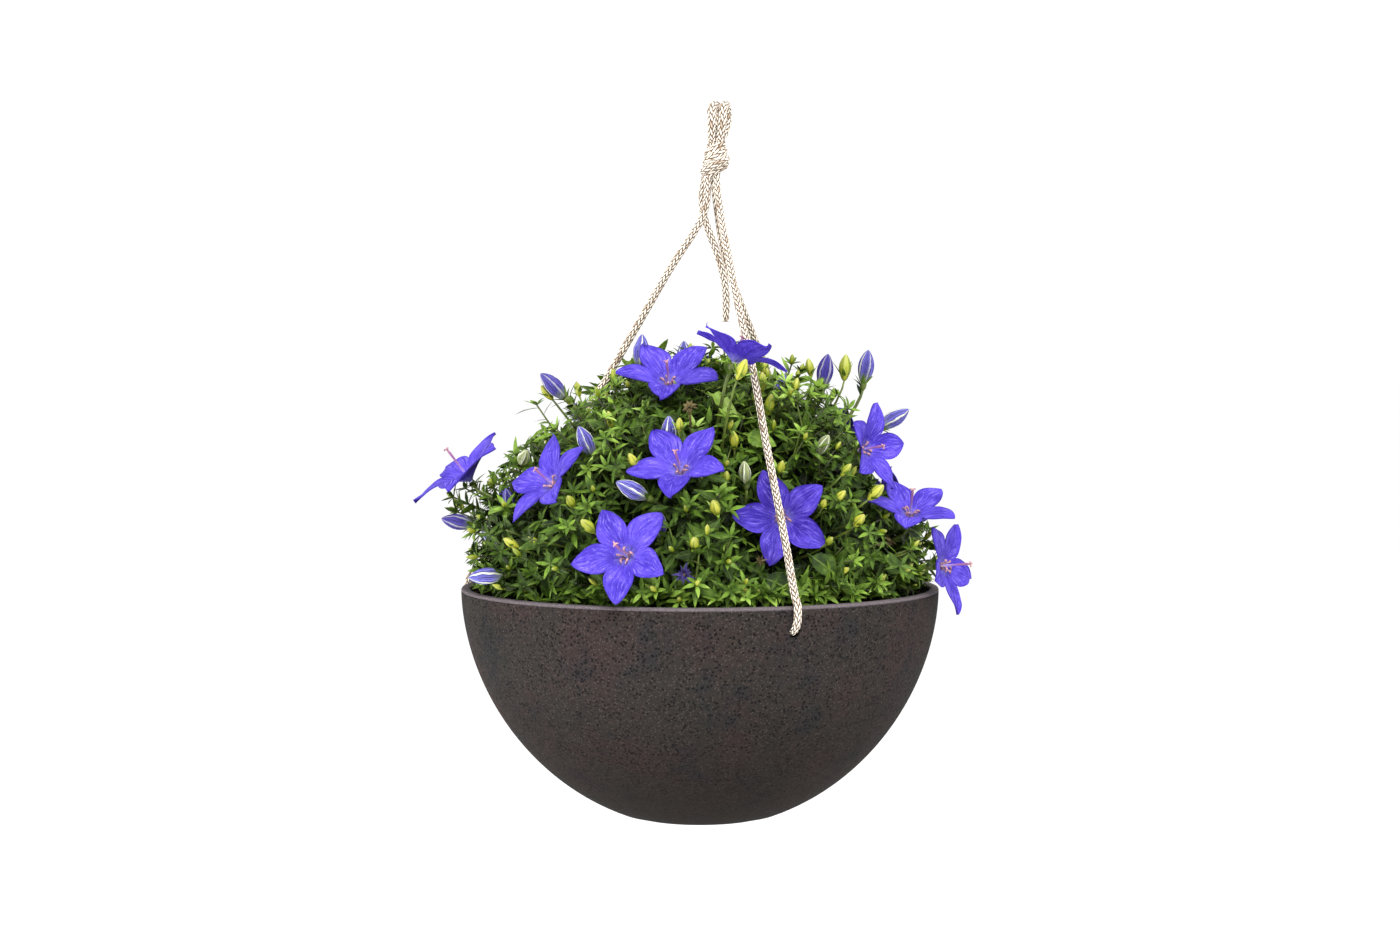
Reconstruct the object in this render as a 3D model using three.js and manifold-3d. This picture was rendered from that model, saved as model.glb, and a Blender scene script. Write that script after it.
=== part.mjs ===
// Potted bellflower in a round hanging pot on a braided rope.
// Millimetres, +Z up, the front of the pot towards -Y. Everything is laid out from the centre of
// the pot's rim, and the whole is then moved so that the origin is the point where the rope loop
// hangs on its hook.

import * as THREE from "three";
import { mergeVertices } from "three/addons/utils/BufferGeometryUtils.js";
import Module from "manifold-3d";

const wasm = await Module();
wasm.setup();

// Running gap between two pieces that touch
const GAP = 0.3;

// Pot
const RIM_RADIUS = 127;
const BOWL_SEMI_DEPTH = 128.6;
const BOWL_FULLNESS = 1.88;
const POT_HEIGHT = 122.5;
const WALL = 5;
const FLOOR = 6;
const LIP_BAND = 1.8;
const DRAIN_RADIUS = 6;
const DRAIN_SIDES = 16;
const POT_SEGMENTS = 40;

// Soil
const SOIL_EDGE_Z = -5;
const SOIL_CROWN_Z = -3.6;
const POCKET_RADIUS = 6.3;
const POCKET_IN = 105.6;
const POCKET_OUT = 126;
const SOIL_SLACK = 1.7;

// Woody stems that stand in the soil
const STEM_RADIUS = 3;
const STEM_HOLE_RADIUS = 3.4;
const STEM_RING = 26;
const STEM_FOOT_Z = -36;
const STEM_HEAD_Z = 12;

// Rope
const ROPE_RADIUS = 2;
const ROPE_SIDES = 8;
const TUNNEL_EXTRA = 0.45;
const HOLE_Z = -13;
const HOLE_AZIMUTHS = { front: 21.5, back_right: 142, left: -104 };
const KNOT_X = 8.2;
const KNOT_BOTTOM = 217.6;
const KNOT_TOP = 235.4;
const HANG_POINT = new THREE.Vector3(10, 0, 253);

// Foliage dome: its radius from the rim's centre, by azimuth and elevation
const DOME_RADIUS = 141;
const SHOULDER = 45;
const CROWN_DROP = 17;
const SKIRT = 15;
const SKIRT_IN = 23;
const LOPSIDE = 6;
// Hollows in the dome: azimuth and elevation, width in degrees, depth
const DENTS = [
  { on: [-78, 52], width: 24, depth: 22 },
  { on: [-95, 8], width: 11, depth: 12 },
  { on: [92, 31], width: 22, depth: 29 },
  { on: [92, 56], width: 20, depth: 18 },
  { on: [80, 68], width: 17, depth: 10 },
];
const ROPE_TOP_Z = 231;
const GROOVE_WIDTH = 16;
const GROOVE_CLEARANCE = 7;
const CORE_SHARE = 0.7;
const SKIRT_FILL = 0.17;
const POINTS = [0.9, 0.85, 0.79];
const SKIRT_POINTS = [0.98, 0.93, 0.89];

// Leaves, sprigs and flowers
const SPRIGS = 86;
const SKIRT_SPRIGS = 24;
const STAR_LOBE = 11;
const CALYX_LOBE = 8.4;
const LEAVES = 30;
const PETALS = 5;
const STYLE_LENGTH = 16;
const BACK_CUP = 0.42;
const BLUE_BUD = { length: 18, radius: 4.3 };
const GREEN_BUD = { length: 11, radius: 2.9 };
const STALK_RADIUS = 1;
const CALYX_DEPTH = 2;
const ROOT_DEPTH = 56;
const ROOT_HEIGHT = 8;
const CLEAR_OF_BLOOM = 2.2;
const CLEAR_OF_BUD = 1.4;
const CLEAR_OF_ROPE = 1.6;

const GOLDEN_ANGLE = 137.508;
const RAD = Math.PI / 180;

// Open flowers on the side seen from the front: foot of the corolla, the way it faces
// (azimuth, elevation), the turn of its first petal, its radius, how deep its bell is as a share
// of the radius, and the length of its style
const FRONT_BLOOMS = [
  { at: [-16, -44, 106.1], face: [-4, 59], turn: 50, radius: 27.3, cup: 0.45, style: 16 },
  { at: [16.6, -81, 119], face: [112, 64], turn: 41, radius: 26.9, cup: 0.36, style: 14 },
  { at: [-120.5, -16, 56.3], face: [-72, 54], turn: 37, radius: 30, cup: 0.4, style: 22 },
  { at: [-72.1, -82, 56.6], face: [-56, 35], turn: 44, radius: 26.8, cup: 0.39, style: 16 },
  { at: [-8.9, -104, 63.9], face: [-17, 48], turn: 58, radius: 27, cup: 0.42, style: 16 },
  { at: [-35.3, -115, 23.7], face: [-19, 21], turn: 52, radius: 26.4, cup: 0.4, style: 19 },
  { at: [42.9, -75, 41.1], face: [-13, 3], turn: 38, radius: 26.3, cup: 0.37, style: 16 },
  { at: [81.3, -52, 74.1], face: [53, 11], turn: 72, radius: 23.5, cup: 0.54, style: 15 },
  { at: [108.1, -46, 38.5], face: [9, 63], turn: 35, radius: 24.6, cup: 0.4, style: 18 },
  { at: [124.2, -37, 13.2], face: [63, 9], turn: 50, radius: 25.9, cup: 0.26, style: 18 },
];

// Open flowers on the hidden side, by azimuth and elevation on the dome
const BACK_BLOOMS = [
  { on: [108, 47], turn: 20, radius: 26 },
  { on: [119, 17], turn: 50, radius: 27 },
  { on: [168, 22], turn: 8, radius: 27 },
  { on: [180, 56], turn: 33, radius: 26 },
  { on: [-154, 31], turn: 60, radius: 27 },
  { on: [-128, 15], turn: 25, radius: 26 },
];

// Striped blue buds: foot, the way each points and its length
const FRONT_BUDS = [
  { at: [-70, -34, 101], face: [-80, 44], length: 18 },
  { at: [-31, -25, 116], face: [60, 87], length: 18 },
  { at: [64, -22, 106], face: [85, 80], length: 18 },
  { at: [87, 0, 108], face: [90, 82], length: 18 },
  { at: [95, -12, 85], face: [88, 32], length: 18 },
  { at: [-54, -79, 73], face: [-50, 58], length: 17 },
  { at: [-15, -86, 78], face: [-5, 68], length: 16 },
  { at: [-26, -108, 53], face: [-70, 26], length: 18 },
  { at: [-119, -24, 34], face: [-80, 12], length: 17 },
  { at: [-97, -52, 44], face: [-30, 65], length: 12 },
  { at: [-100, -66, 11], face: [-82, -3], length: 18 },
  { at: [-103, -47, 24], face: [-65, 40], length: 13 },
  { at: [-92, -50, 67], face: [20, 35], length: 13 },
  { at: [-19.5, -109, 33], face: [0, 72], length: 14 },
  { at: [60, -67, 73], face: [35, 48], length: 13 },
  { at: [23, -86, 59], face: [-10, 60], length: 13 },
];
const BACK_BUDS = [
  { on: [98, 66], length: 17 },
  { on: [122, 36], length: 18 },
  { on: [158, 44], length: 17 },
  { on: [178, 8], length: 16 },
  { on: [-168, 70], length: 18 },
  { on: [-135, 42], length: 18 },
];

// Young yellow-green buds, by azimuth and elevation on the dome
const GREEN_BUDS = [
  [8, 60], [62, 62], [40, 66], [30, 52], [-3, 42], [-48, 48], [-38, 30], [-27, 21],
  [22, 9], [-4, 22], [13, 28], [48, 26], [60, 18], [44, 8], [-58, 18], [-66, 30],
  [-74, 26], [-20, 66], [8, 10], [33, 36], [96, 30], [150, 30], [178, 38], [-140, 55],
  [-165, 14], [-92, 42], [130, 68], [-70, 58],
];

// Broad toothed leaves, by azimuth, elevation, share of the dome, length and droop angle
const BROAD_LEAVES = [
  { on: [-2, 50], share: 0.9, length: 24, lift: 30 },
  { on: [18, 43], share: 0.82, length: 22, lift: 50 },
  { on: [20, 8], share: 0.9, length: 24, lift: -20 },
  { on: [34, 10], share: 0.92, length: 26, lift: -10 },
  { on: [-44, 7], share: 0.9, length: 24, lift: -25 },
  { on: [-58, 22], share: 0.95, length: 20, lift: 10 },
  { on: [-62, 42], share: 0.9, length: 24, lift: 5 },
  { on: [60, 8], share: 0.9, length: 22, lift: 0 },
  { on: [100, 12], share: 0.9, length: 24, lift: 5 },
  { on: [150, 12], share: 0.9, length: 24, lift: 0 },
  { on: [-170, 40], share: 0.9, length: 22, lift: 20 },
  { on: [-142, 10], share: 0.9, length: 24, lift: -5 },
  { on: [-80, 10], share: 0.88, length: 22, lift: 0 },
];

const LEAF_GREEN = 0x4f6725;
const BLOOM_VIOLET = 0x7a68f4;
const BUD_BLUE = 0x5c5cb4;
const POT_BROWN = 0x413c3c;
const SOIL_BROWN = 0x2a211b;
const ROPE_BEIGE = 0xcbb69b;

// A number from 0 to 1 that looks random and is the same on every run
function noise(i, k) {
  const v = Math.sin(i * 12.9898 + k * 78.233) * 43758.5453;
  return v - Math.floor(v);
}

// Unit vector: azimuth 0 faces the front, 90 faces right
function direction(azimuth, elevation) {
  const level = Math.cos(elevation * RAD);
  return new THREE.Vector3(
    Math.sin(azimuth * RAD) * level,
    -Math.cos(azimuth * RAD) * level,
    Math.sin(elevation * RAD),
  );
}

// Two unit vectors square to n: u is level and v points up
function frameOf(n) {
  const u = new THREE.Vector3(0, 0, 1).cross(n);
  if (u.length() < 1e-6) u.set(1, 0, 0);
  u.normalize();
  return { u, v: new THREE.Vector3().crossVectors(n, u) };
}

function wrapped(angle) {
  return ((((angle + 180) % 360) + 360) % 360) - 180;
}

// How far out the foliage reaches; it keeps inside the straight run of each rope
function domeRadius(azimuth, elevation) {
  let r = DOME_RADIUS;
  if (elevation > SHOULDER) r -= CROWN_DROP * ((elevation - SHOULDER) / SHOULDER) ** 2;
  if (elevation < SKIRT) r -= (SKIRT_IN * (SKIRT - elevation)) / SKIRT;
  r += LOPSIDE * Math.sin(azimuth * RAD) * Math.sin(2 * elevation * RAD);
  const slope = RIM_RADIUS / ROPE_TOP_Z;
  const e = elevation * RAD;
  const reach = RIM_RADIUS / (Math.cos(e) + slope * Math.sin(e)) - GROOVE_CLEARANCE;
  for (const hole of Object.values(HOLE_AZIMUTHS)) {
    const near = Math.exp(-((wrapped(azimuth - hole) / GROOVE_WIDTH) ** 2));
    r -= near * Math.max(0, r - reach);
  }
  const way = direction(azimuth, elevation);
  for (const { on, width, depth } of DENTS) {
    const apart = way.angleTo(direction(...on)) / RAD;
    r -= depth * Math.exp(-((apart / width) ** 2));
  }
  return r;
}

function onDome(azimuth, elevation, share) {
  return direction(azimuth, elevation).multiplyScalar(domeRadius(azimuth, elevation) * share);
}

const vector = ([x, y, z]) => new THREE.Vector3(x, y, z);

// Solids from geometries

function solidOf(geometry) {
  const loose = geometry.index ? geometry.toNonIndexed() : geometry;
  const bare = new THREE.BufferGeometry();
  bare.setAttribute("position", loose.getAttribute("position"));
  const merged = mergeVertices(bare, 1e-4);
  const tris = [];
  const index = merged.index.array;
  for (let i = 0; i < index.length; i += 3) {
    const [a, b, c] = [index[i], index[i + 1], index[i + 2]];
    if (a !== b && b !== c && c !== a) tris.push([a, b, c]);
  }
  const build = (list) =>
    new wasm.Manifold(
      new wasm.Mesh({
        numProp: 3,
        vertProperties: merged.attributes.position.array,
        triVerts: new Uint32Array(list.flat()),
      }),
    );
  const solid = build(tris);
  return solid.volume() < 0 ? build(tris.map(([a, b, c]) => [a, c, b])) : solid;
}

// Joined two by two, so that each join stays small
function joined(solids) {
  let level = solids;
  while (level.length > 1) {
    const next = [];
    for (let i = 0; i < level.length; i += 2) {
      next.push(i + 1 < level.length ? level[i].add(level[i + 1]) : level[i]);
    }
    level = next;
  }
  return level[0];
}

function cutBy(solid, tools) {
  return tools.reduce((rest, tool) => rest.subtract(tool), solid);
}

function geometryOf(solid) {
  const mesh = solid.getMesh();
  const geometry = new THREE.BufferGeometry();
  const places = new Float32Array(mesh.numVert * 3);
  for (let i = 0; i < mesh.numVert; i += 1) {
    const from = i * mesh.numProp;
    places.set(mesh.vertProperties.subarray(from, from + 3), i * 3);
  }
  geometry.setAttribute("position", new THREE.BufferAttribute(places, 3));
  geometry.setIndex(new THREE.BufferAttribute(mesh.triVerts, 1));
  geometry.computeVertexNormals();
  return geometry;
}

// Vertices and triangles of a small hand-made closed mesh
function shell() {
  return { points: [], tris: [] };
}

function addPoint(s, p) {
  s.points.push(p);
  return s.points.length - 1;
}

function solidOfShell(s) {
  const geometry = new THREE.BufferGeometry();
  geometry.setFromPoints(s.points);
  geometry.setIndex(s.tris.flat());
  return solidOf(geometry);
}

// Skin from one ring of points to the next; both run the same way and start at the same angle
function ringToRing(s, outer, inner) {
  const single = inner.length === 1;
  outer.forEach((p, i) => {
    const next = (i + 1) % outer.length;
    const from = Math.round((i / outer.length) * inner.length) % inner.length;
    const to = Math.round(((i + 1) / outer.length) * inner.length) % inner.length;
    s.tris.push([p, outer[next], inner[from]]);
    if (!single && from !== to) s.tris.push([outer[next], inner[to], inner[from]]);
  });
}

// Profile of [radius, height] pairs turned about the upright axis
function turned(profile, segments) {
  const points = profile.map(([r, z]) => new THREE.Vector2(r, z));
  return new THREE.LatheGeometry(points, segments).rotateX(Math.PI / 2);
}

// Straight tapered stem between two points
function stem(from, to, fromRadius, toRadius, sides) {
  const along = new THREE.Vector3().subVectors(to, from);
  const geometry = new THREE.CylinderGeometry(toRadius, fromRadius, along.length(), sides);
  const up = new THREE.Vector3(0, 1, 0);
  const turn = new THREE.Quaternion().setFromUnitVectors(up, along.clone().normalize());
  geometry.applyQuaternion(turn);
  const middle = new THREE.Vector3().addVectors(from, to).multiplyScalar(0.5);
  geometry.translate(middle.x, middle.y, middle.z);
  return solidOf(geometry);
}

// Smooth route that is stepped from one of its points to the next
class Route extends THREE.CatmullRomCurve3 {
  constructor(points) {
    super(points.map(vector), false, "centripetal");
  }

  getPointAt(u, target) {
    return this.getPoint(u, target);
  }

  getTangentAt(u, target) {
    return this.getTangent(u, target);
  }
}

// Round tube along a route, with a ring of its skin at each point
function tube(points, radius, sides) {
  const section = new THREE.Shape();
  for (let i = 0; i < sides; i += 1) {
    const a = (i * 2 * Math.PI) / sides;
    const place = [radius * Math.cos(a), radius * Math.sin(a)];
    if (i) section.lineTo(...place);
    else section.moveTo(...place);
  }
  const geometry = new THREE.ExtrudeGeometry(section, {
    steps: points.length - 1,
    bevelEnabled: false,
    extrudePath: new Route(points),
  });
  return solidOf(geometry);
}

// Ropes

// From above the rim, over its outer edge and through the hole in the wall
function overRim(azimuth) {
  const run = [
    [126.6, 5.4],
    [130, 0.5],
    [130.3, -4],
    [129.6, -7.6],
    [127.2, -10.8],
    [123.5, -12.7],
    [119.4, HOLE_Z],
  ];
  return run.map(([r, z]) => {
    const level = direction(azimuth, 0).multiplyScalar(r);
    return [level.x, level.y, z];
  });
}

const ROPE_ROUTES = {
  strand_front: [
    [8.7, -2.6, 217.3],
    [9.0, -3.6, 211],
    [10.1, -6.6, 203.5],
    [11.7, -12, 191.5],
    [13.9, -18.5, 180.2],
    [18.2, -33, 156.2],
    [26.8, -56, 116.4],
    [33, -76, 80.2],
    [42, -103, 31.6],
    ...overRim(HOLE_AZIMUTHS.front),
  ],
  strand_back_right: [
    [7.6, 2.6, 217.3],
    [8.3, 3, 209],
    [9.6, 5, 198],
    [11.6, 9.5, 184.5],
    [15.6, 17, 168.5],
    [25.5, 31, 142],
    [36.5, 46, 115],
    [57, 73.5, 60.5],
    ...overRim(HOLE_AZIMUTHS.back_right),
  ],
  strand_left: [
    [3.9, -2.2, 217.3],
    [3.9, -2.3, 210],
    [3.4, -2.2, 203.5],
    [1.5, -2, 196.5],
    [-3, -1, 188.5],
    [-15.8, 3, 169],
    [-30.2, 8, 144.4],
    [-62, 15.5, 90.7],
    [-91, 22, 46],
    [-115.6, 28.5, 11.5],
    ...overRim(HOLE_AZIMUTHS.left),
  ],
  tail: [
    [2.6, 2.7, 217.3],
    [1.4, 3.2, 210],
    [1.2, 3.6, 203],
    [2.4, 3.8, 196],
    [5.6, 3.2, 186.5],
    [9.9, 1, 174.7],
    [12.9, -0.6, 163],
    [13.9, -1, 152],
    [13.6, -1, 140.7],
  ],
};

// Narrow loop above the knot: up in front, over the top and down behind. The leg behind leans as
// far to the right as it is told, so that it shows between the two legs in front.
function bightRoute(foot, front, behind) {
  const top = foot + (front + behind) / 2;
  return [
    [foot, -2.4, KNOT_TOP + 2 * GAP],
    [foot, -2.8, 238],
    [foot + 0.4 * front, -4.6, 241.2],
    [foot + 0.8 * front, -6, 247],
    [foot + front, -4.7, 252.6],
    [top, 0, 255.4],
    [foot + behind, 4.7, 252.6],
    [foot + behind, 6, 247],
    [foot + 0.6 * behind, 4.6, 241.2],
    [foot + 0.1 * behind, 2.8, 238],
    [foot, 2.4, KNOT_TOP + 2 * GAP],
  ];
}
ROPE_ROUTES.loop_bight_left = bightRoute(6.2, 0, 4.1);
ROPE_ROUTES.loop_bight_right = bightRoute(10.6, 1.5, 4);

// One turn of rope in the knot: a ring, leant over by an angle
function knotTurn(centre, ringRadius, lean) {
  const geometry = new THREE.TorusGeometry(ringRadius, ROPE_RADIUS + 0.1, 5, 10);
  geometry.rotateY(-lean * RAD);
  geometry.translate(...centre);
  return solidOf(geometry);
}

// Overhand knot that gathers the strands under the loop
function topKnot() {
  const heart = [
    [0, KNOT_BOTTOM],
    [5.9, KNOT_BOTTOM],
    [6.2, 222],
    [5.4, 231],
    [5.2, KNOT_TOP],
    [0, KNOT_TOP],
  ];
  const core = solidOf(turned(heart, 8).translate(KNOT_X - 0.6, 0, 0));
  const turns = [
    knotTurn([KNOT_X - 0.4, 0, 222.2], 4.5, 20),
    knotTurn([KNOT_X + 0.4, 0, 226.8], 4.9, 14),
    knotTurn([KNOT_X, 0, 231.2], 4.3, -16),
  ];
  return joined([core, ...turns]);
}

// Stopper knot on the inside of the wall, at the end of a strand: two turns of the rope, pulled tight
function stopperKnot(azimuth) {
  const profile = [
    [0, 106.9],
    [4.2, 107.6],
    [5.4, 110],
    [4, 112.6],
    [5.5, 115.4],
    [3.6, 118.6],
    [0, 119],
  ];
  const geometry = turned(profile, 8);
  const up = new THREE.Vector3(0, 0, 1);
  const turn = new THREE.Quaternion().setFromUnitVectors(up, direction(azimuth, 0));
  return solidOf(geometry.applyQuaternion(turn).translate(0, 0, HOLE_Z));
}

// Pot and soil

function bowlRadius(z, inset) {
  const share = Math.abs(z) / (BOWL_SEMI_DEPTH - inset);
  return (RIM_RADIUS - inset) * Math.sqrt(1 - share ** BOWL_FULLNESS);
}

function bowlPoints(fromZ, toZ, inset, steps) {
  const points = [];
  for (let i = 0; i <= steps; i += 1) {
    const z = fromZ + ((toZ - fromZ) * i) / Math.max(1, steps);
    points.push([bowlRadius(z, inset), z]);
  }
  return points;
}

// The way that a strand needs through the pot's wall
function ropeTunnel(azimuth) {
  return tube(overRim(azimuth), ROPE_RADIUS + TUNNEL_EXTRA, ROPE_SIDES);
}

function pot() {
  const insideFloor = FLOOR - POT_HEIGHT;
  const profile = [
    [0, -POT_HEIGHT],
    ...bowlPoints(-POT_HEIGHT, -POT_HEIGHT, 0, 0),
    ...bowlPoints(-114, -LIP_BAND, 0, 7),
    [RIM_RADIUS - 1.2, 0],
    [RIM_RADIUS - 3.8, 0],
    [RIM_RADIUS - 4.8, -1.1],
    ...bowlPoints(-8, insideFloor, WALL, 5),
    [0, insideFloor],
  ];
  const bowl = solidOf(turned(profile, POT_SEGMENTS));
  const drain = stem(
    new THREE.Vector3(0, 0, -POT_HEIGHT - 2),
    new THREE.Vector3(0, 0, insideFloor + 2),
    DRAIN_RADIUS,
    DRAIN_RADIUS,
    DRAIN_SIDES,
  );
  return cutBy(bowl, [drain, ...Object.values(HOLE_AZIMUTHS).map(ropeTunnel)]);
}

// Woody stems stand in the soil: the middle one and a ring round it
function crownStems() {
  const feet = [[0, 0]];
  for (let i = 0; i < 6; i += 1) {
    const a = (i * 60 + 15) * RAD;
    feet.push([STEM_RING * Math.cos(a), STEM_RING * Math.sin(a)]);
  }
  return feet.map(([x, y]) => ({
    foot: new THREE.Vector3(x, y, STEM_FOOT_Z),
    head: new THREE.Vector3(x * 1.25, y * 1.25, STEM_HEAD_Z),
  }));
}

function soil() {
  const inset = WALL + SOIL_SLACK;
  const insideFloor = FLOOR - POT_HEIGHT + GAP;
  const profile = [
    [0, insideFloor],
    ...bowlPoints(insideFloor, SOIL_EDGE_Z, inset, 6),
    [96, SOIL_EDGE_Z + 0.6],
    [60, SOIL_CROWN_Z],
    [0, SOIL_CROWN_Z],
  ];
  const fill = solidOf(turned(profile, POT_SEGMENTS));
  const holes = crownStems().map(({ foot, head }) => {
    const down = new THREE.Vector3().subVectors(foot, head).setLength(GAP);
    return stem(foot.clone().add(down), head, STEM_HOLE_RADIUS, STEM_HOLE_RADIUS, 6);
  });
  const pockets = Object.values(HOLE_AZIMUTHS).map((azimuth) => {
    const out = direction(azimuth, 0);
    const inner = out.clone().multiplyScalar(POCKET_IN).setZ(HOLE_Z);
    const outer = out.clone().multiplyScalar(POCKET_OUT).setZ(HOLE_Z);
    return stem(inner, outer, POCKET_RADIUS, POCKET_RADIUS, 8);
  });
  return cutBy(fill, [...holes, ...pockets]);
}

// Flowers

// Height of a corolla over its foot, at a distance from its axis
function corollaHeight(distance, radius, cup) {
  const t = Math.min(1.2, distance / radius);
  return cup * radius * (1 - (1 - Math.min(1, t)) ** 2.1) - 0.03 * radius * t ** 4;
}

function bloomFrame(bloom) {
  const n = direction(...bloom.face);
  return { n, ...frameOf(n), foot: vector(bloom.at) };
}

function placedBlooms() {
  const back = BACK_BLOOMS.map(({ on: [azimuth, elevation], turn, radius }) => ({
    at: onDome(azimuth, elevation, 0.9).toArray(),
    face: [azimuth, elevation + 14],
    turn,
    radius,
    cup: BACK_CUP,
    style: STYLE_LENGTH,
  }));
  return [...FRONT_BLOOMS, ...back];
}

function placedBuds() {
  const back = BACK_BUDS.map(({ on: [azimuth, elevation], length }) => ({
    at: onDome(azimuth, elevation, 0.9).toArray(),
    face: [azimuth, Math.min(86, elevation + 16)],
    length,
  }));
  return [...FRONT_BUDS, ...back];
}

// Five petals joined into a shallow bell, thickest at their ribs and drawn out to an edge, with the
// style standing in the middle
function bloomSolid(bloom) {
  const { n, u, v, foot } = bloomFrame(bloom);
  const { radius: size, cup, style } = bloom;
  const place = (distance, angle, height) => {
    const a = (bloom.turn + angle) * RAD;
    return foot
      .clone()
      .addScaledVector(u, distance * Math.cos(a))
      .addScaledVector(v, distance * Math.sin(a))
      .addScaledVector(n, height);
  };
  const at = (share, angle, lift) =>
    place(share * size, angle, corollaHeight(share * size, size, cup) + lift);
  const s = shell();
  const half = 180 / PETALS;
  const rim = [];
  for (let k = 0; k < PETALS; k += 1) {
    const mid = (k * 360) / PETALS;
    const edge = (share, angle) => addPoint(s, at(share, mid + angle, 0.9));
    rim.push({
      sinus: addPoint(s, at(0.4, mid - half, 1.2)),
      rightWide: edge(0.66, -22),
      rightNear: edge(0.85, -11.5),
      tip: addPoint(s, at(1, mid, 0)),
      leftNear: edge(0.85, 11.5),
      leftWide: edge(0.66, 22),
    });
  }
  const styleRings = [
    [0.8, 0.9],
    [0.7, style - 3],
    [1.2, style - 0.8],
  ].map(([distance, height]) =>
    [0, 1, 2].map((k) => addPoint(s, place(distance, 120 * k, height))),
  );
  const styleTip = addPoint(s, place(0, 0, style));
  for (const [side, thick] of [[1, 0.6], [-1, -0.6]]) {
    const tri = (a, b, c) => s.tris.push(side > 0 ? [a, b, c] : [a, c, b]);
    const ribs = [];
    for (let k = 0; k < PETALS; k += 1) {
      const mid = (k * 360) / PETALS;
      ribs.push({
        low: addPoint(s, at(0.32, mid, thick - 0.3)),
        wide: addPoint(s, at(0.66, mid, thick * 0.9)),
        near: addPoint(s, at(0.85, mid, thick * 0.7)),
      });
    }
    const throat = ribs.flatMap((rib, k) => [rim[k].sinus, rib.low]);
    if (side > 0) ringToRing(s, throat, styleRings[0]);
    else {
      const centre = addPoint(s, at(0, 0, thick));
      throat.forEach((a, i) => tri(centre, a, throat[(i + 1) % throat.length]));
    }
    ribs.forEach((rib, k) => {
      const { rightWide, rightNear, tip, leftNear, leftWide, sinus } = rim[k];
      const nextSinus = rim[(k + 1) % PETALS].sinus;
      tri(sinus, rightWide, rib.low);
      tri(rightWide, rib.wide, rib.low);
      tri(rib.low, rib.wide, nextSinus);
      tri(rib.wide, leftWide, nextSinus);
      tri(rightWide, rightNear, rib.wide);
      tri(rightNear, rib.near, rib.wide);
      tri(rib.wide, rib.near, leftWide);
      tri(rib.near, leftNear, leftWide);
      tri(rightNear, tip, rib.near);
      tri(rib.near, tip, leftNear);
    });
  }
  for (let i = 0; i + 1 < styleRings.length; i += 1) {
    ringToRing(s, styleRings[i], styleRings[i + 1]);
  }
  ringToRing(s, styleRings[styleRings.length - 1], [styleTip]);
  return solidOfShell(s);
}

// Spindle with five ribs, for a closed bud
function budSpindle(at, face, length, radius, profile) {
  const n = direction(...face);
  const geometry = turned(profile.map(([r, z]) => [r * radius, z * length]), PETALS);
  const up = new THREE.Vector3(0, 0, 1);
  geometry.applyQuaternion(new THREE.Quaternion().setFromUnitVectors(up, n));
  geometry.translate(at.x, at.y, at.z);
  return solidOf(geometry);
}

const BLUE_BUD_PROFILE = [
  [0, 0],
  [0.45, 0.02],
  [0.95, 0.36],
  [0.96, 0.56],
  [0.5, 0.86],
  [0, 1],
];
const GREEN_BUD_PROFILE = [
  [0.3, -0.06],
  [1, 0.45],
  [0.7, 0.8],
  [0, 1],
];

function blueBud(bud) {
  const radius = (BLUE_BUD.radius * bud.length) / BLUE_BUD.length;
  return budSpindle(vector(bud.at), bud.face, bud.length, radius, BLUE_BUD_PROFILE);
}

// Clearances of the foliage

const BLOOMS = placedBlooms();
const BUDS = placedBuds();
const BLOOM_FRAMES = BLOOMS.map((bloom) => ({ ...bloom, ...bloomFrame(bloom) }));
const BUD_LINES = BUDS.map((bud) => {
  const from = vector(bud.at);
  const to = from.clone().addScaledVector(direction(...bud.face), bud.length);
  return { line: new THREE.Line3(from, to), radius: BLUE_BUD.radius };
});
const ROPE_LINES = Object.keys(ROPE_ROUTES).flatMap((name) => {
  const points = ROPE_ROUTES[name].map(vector);
  return points.slice(1).map((point, i) => new THREE.Line3(points[i], point));
});

function distanceTo(line, point) {
  const nearest = line.closestPointToPoint(point, true, new THREE.Vector3());
  return nearest.distanceTo(point);
}

// True where a leaf may be: not in or before a flower, nor on a bud, a rope or the rim
function isFree(point) {
  for (const { n, foot, radius, cup } of BLOOM_FRAMES) {
    const from = new THREE.Vector3().subVectors(point, foot);
    const h = from.dot(n);
    const distance = Math.sqrt(Math.max(0, from.lengthSq() - h * h));
    const under = corollaHeight(distance, radius, cup) - 0.6 - CLEAR_OF_BLOOM;
    if (distance < radius + 2 && h > under && h < 1.6 * radius) return false;
  }
  for (const { line, radius } of BUD_LINES) {
    if (distanceTo(line, point) < radius + CLEAR_OF_BUD) return false;
  }
  for (const line of ROPE_LINES) {
    if (distanceTo(line, point) < ROPE_RADIUS + CLEAR_OF_ROPE) return false;
  }
  const level = Math.hypot(point.x, point.y);
  return point.z > 1.2 && (point.z > 2 || level < RIM_RADIUS - 8);
}

// Foliage

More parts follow.
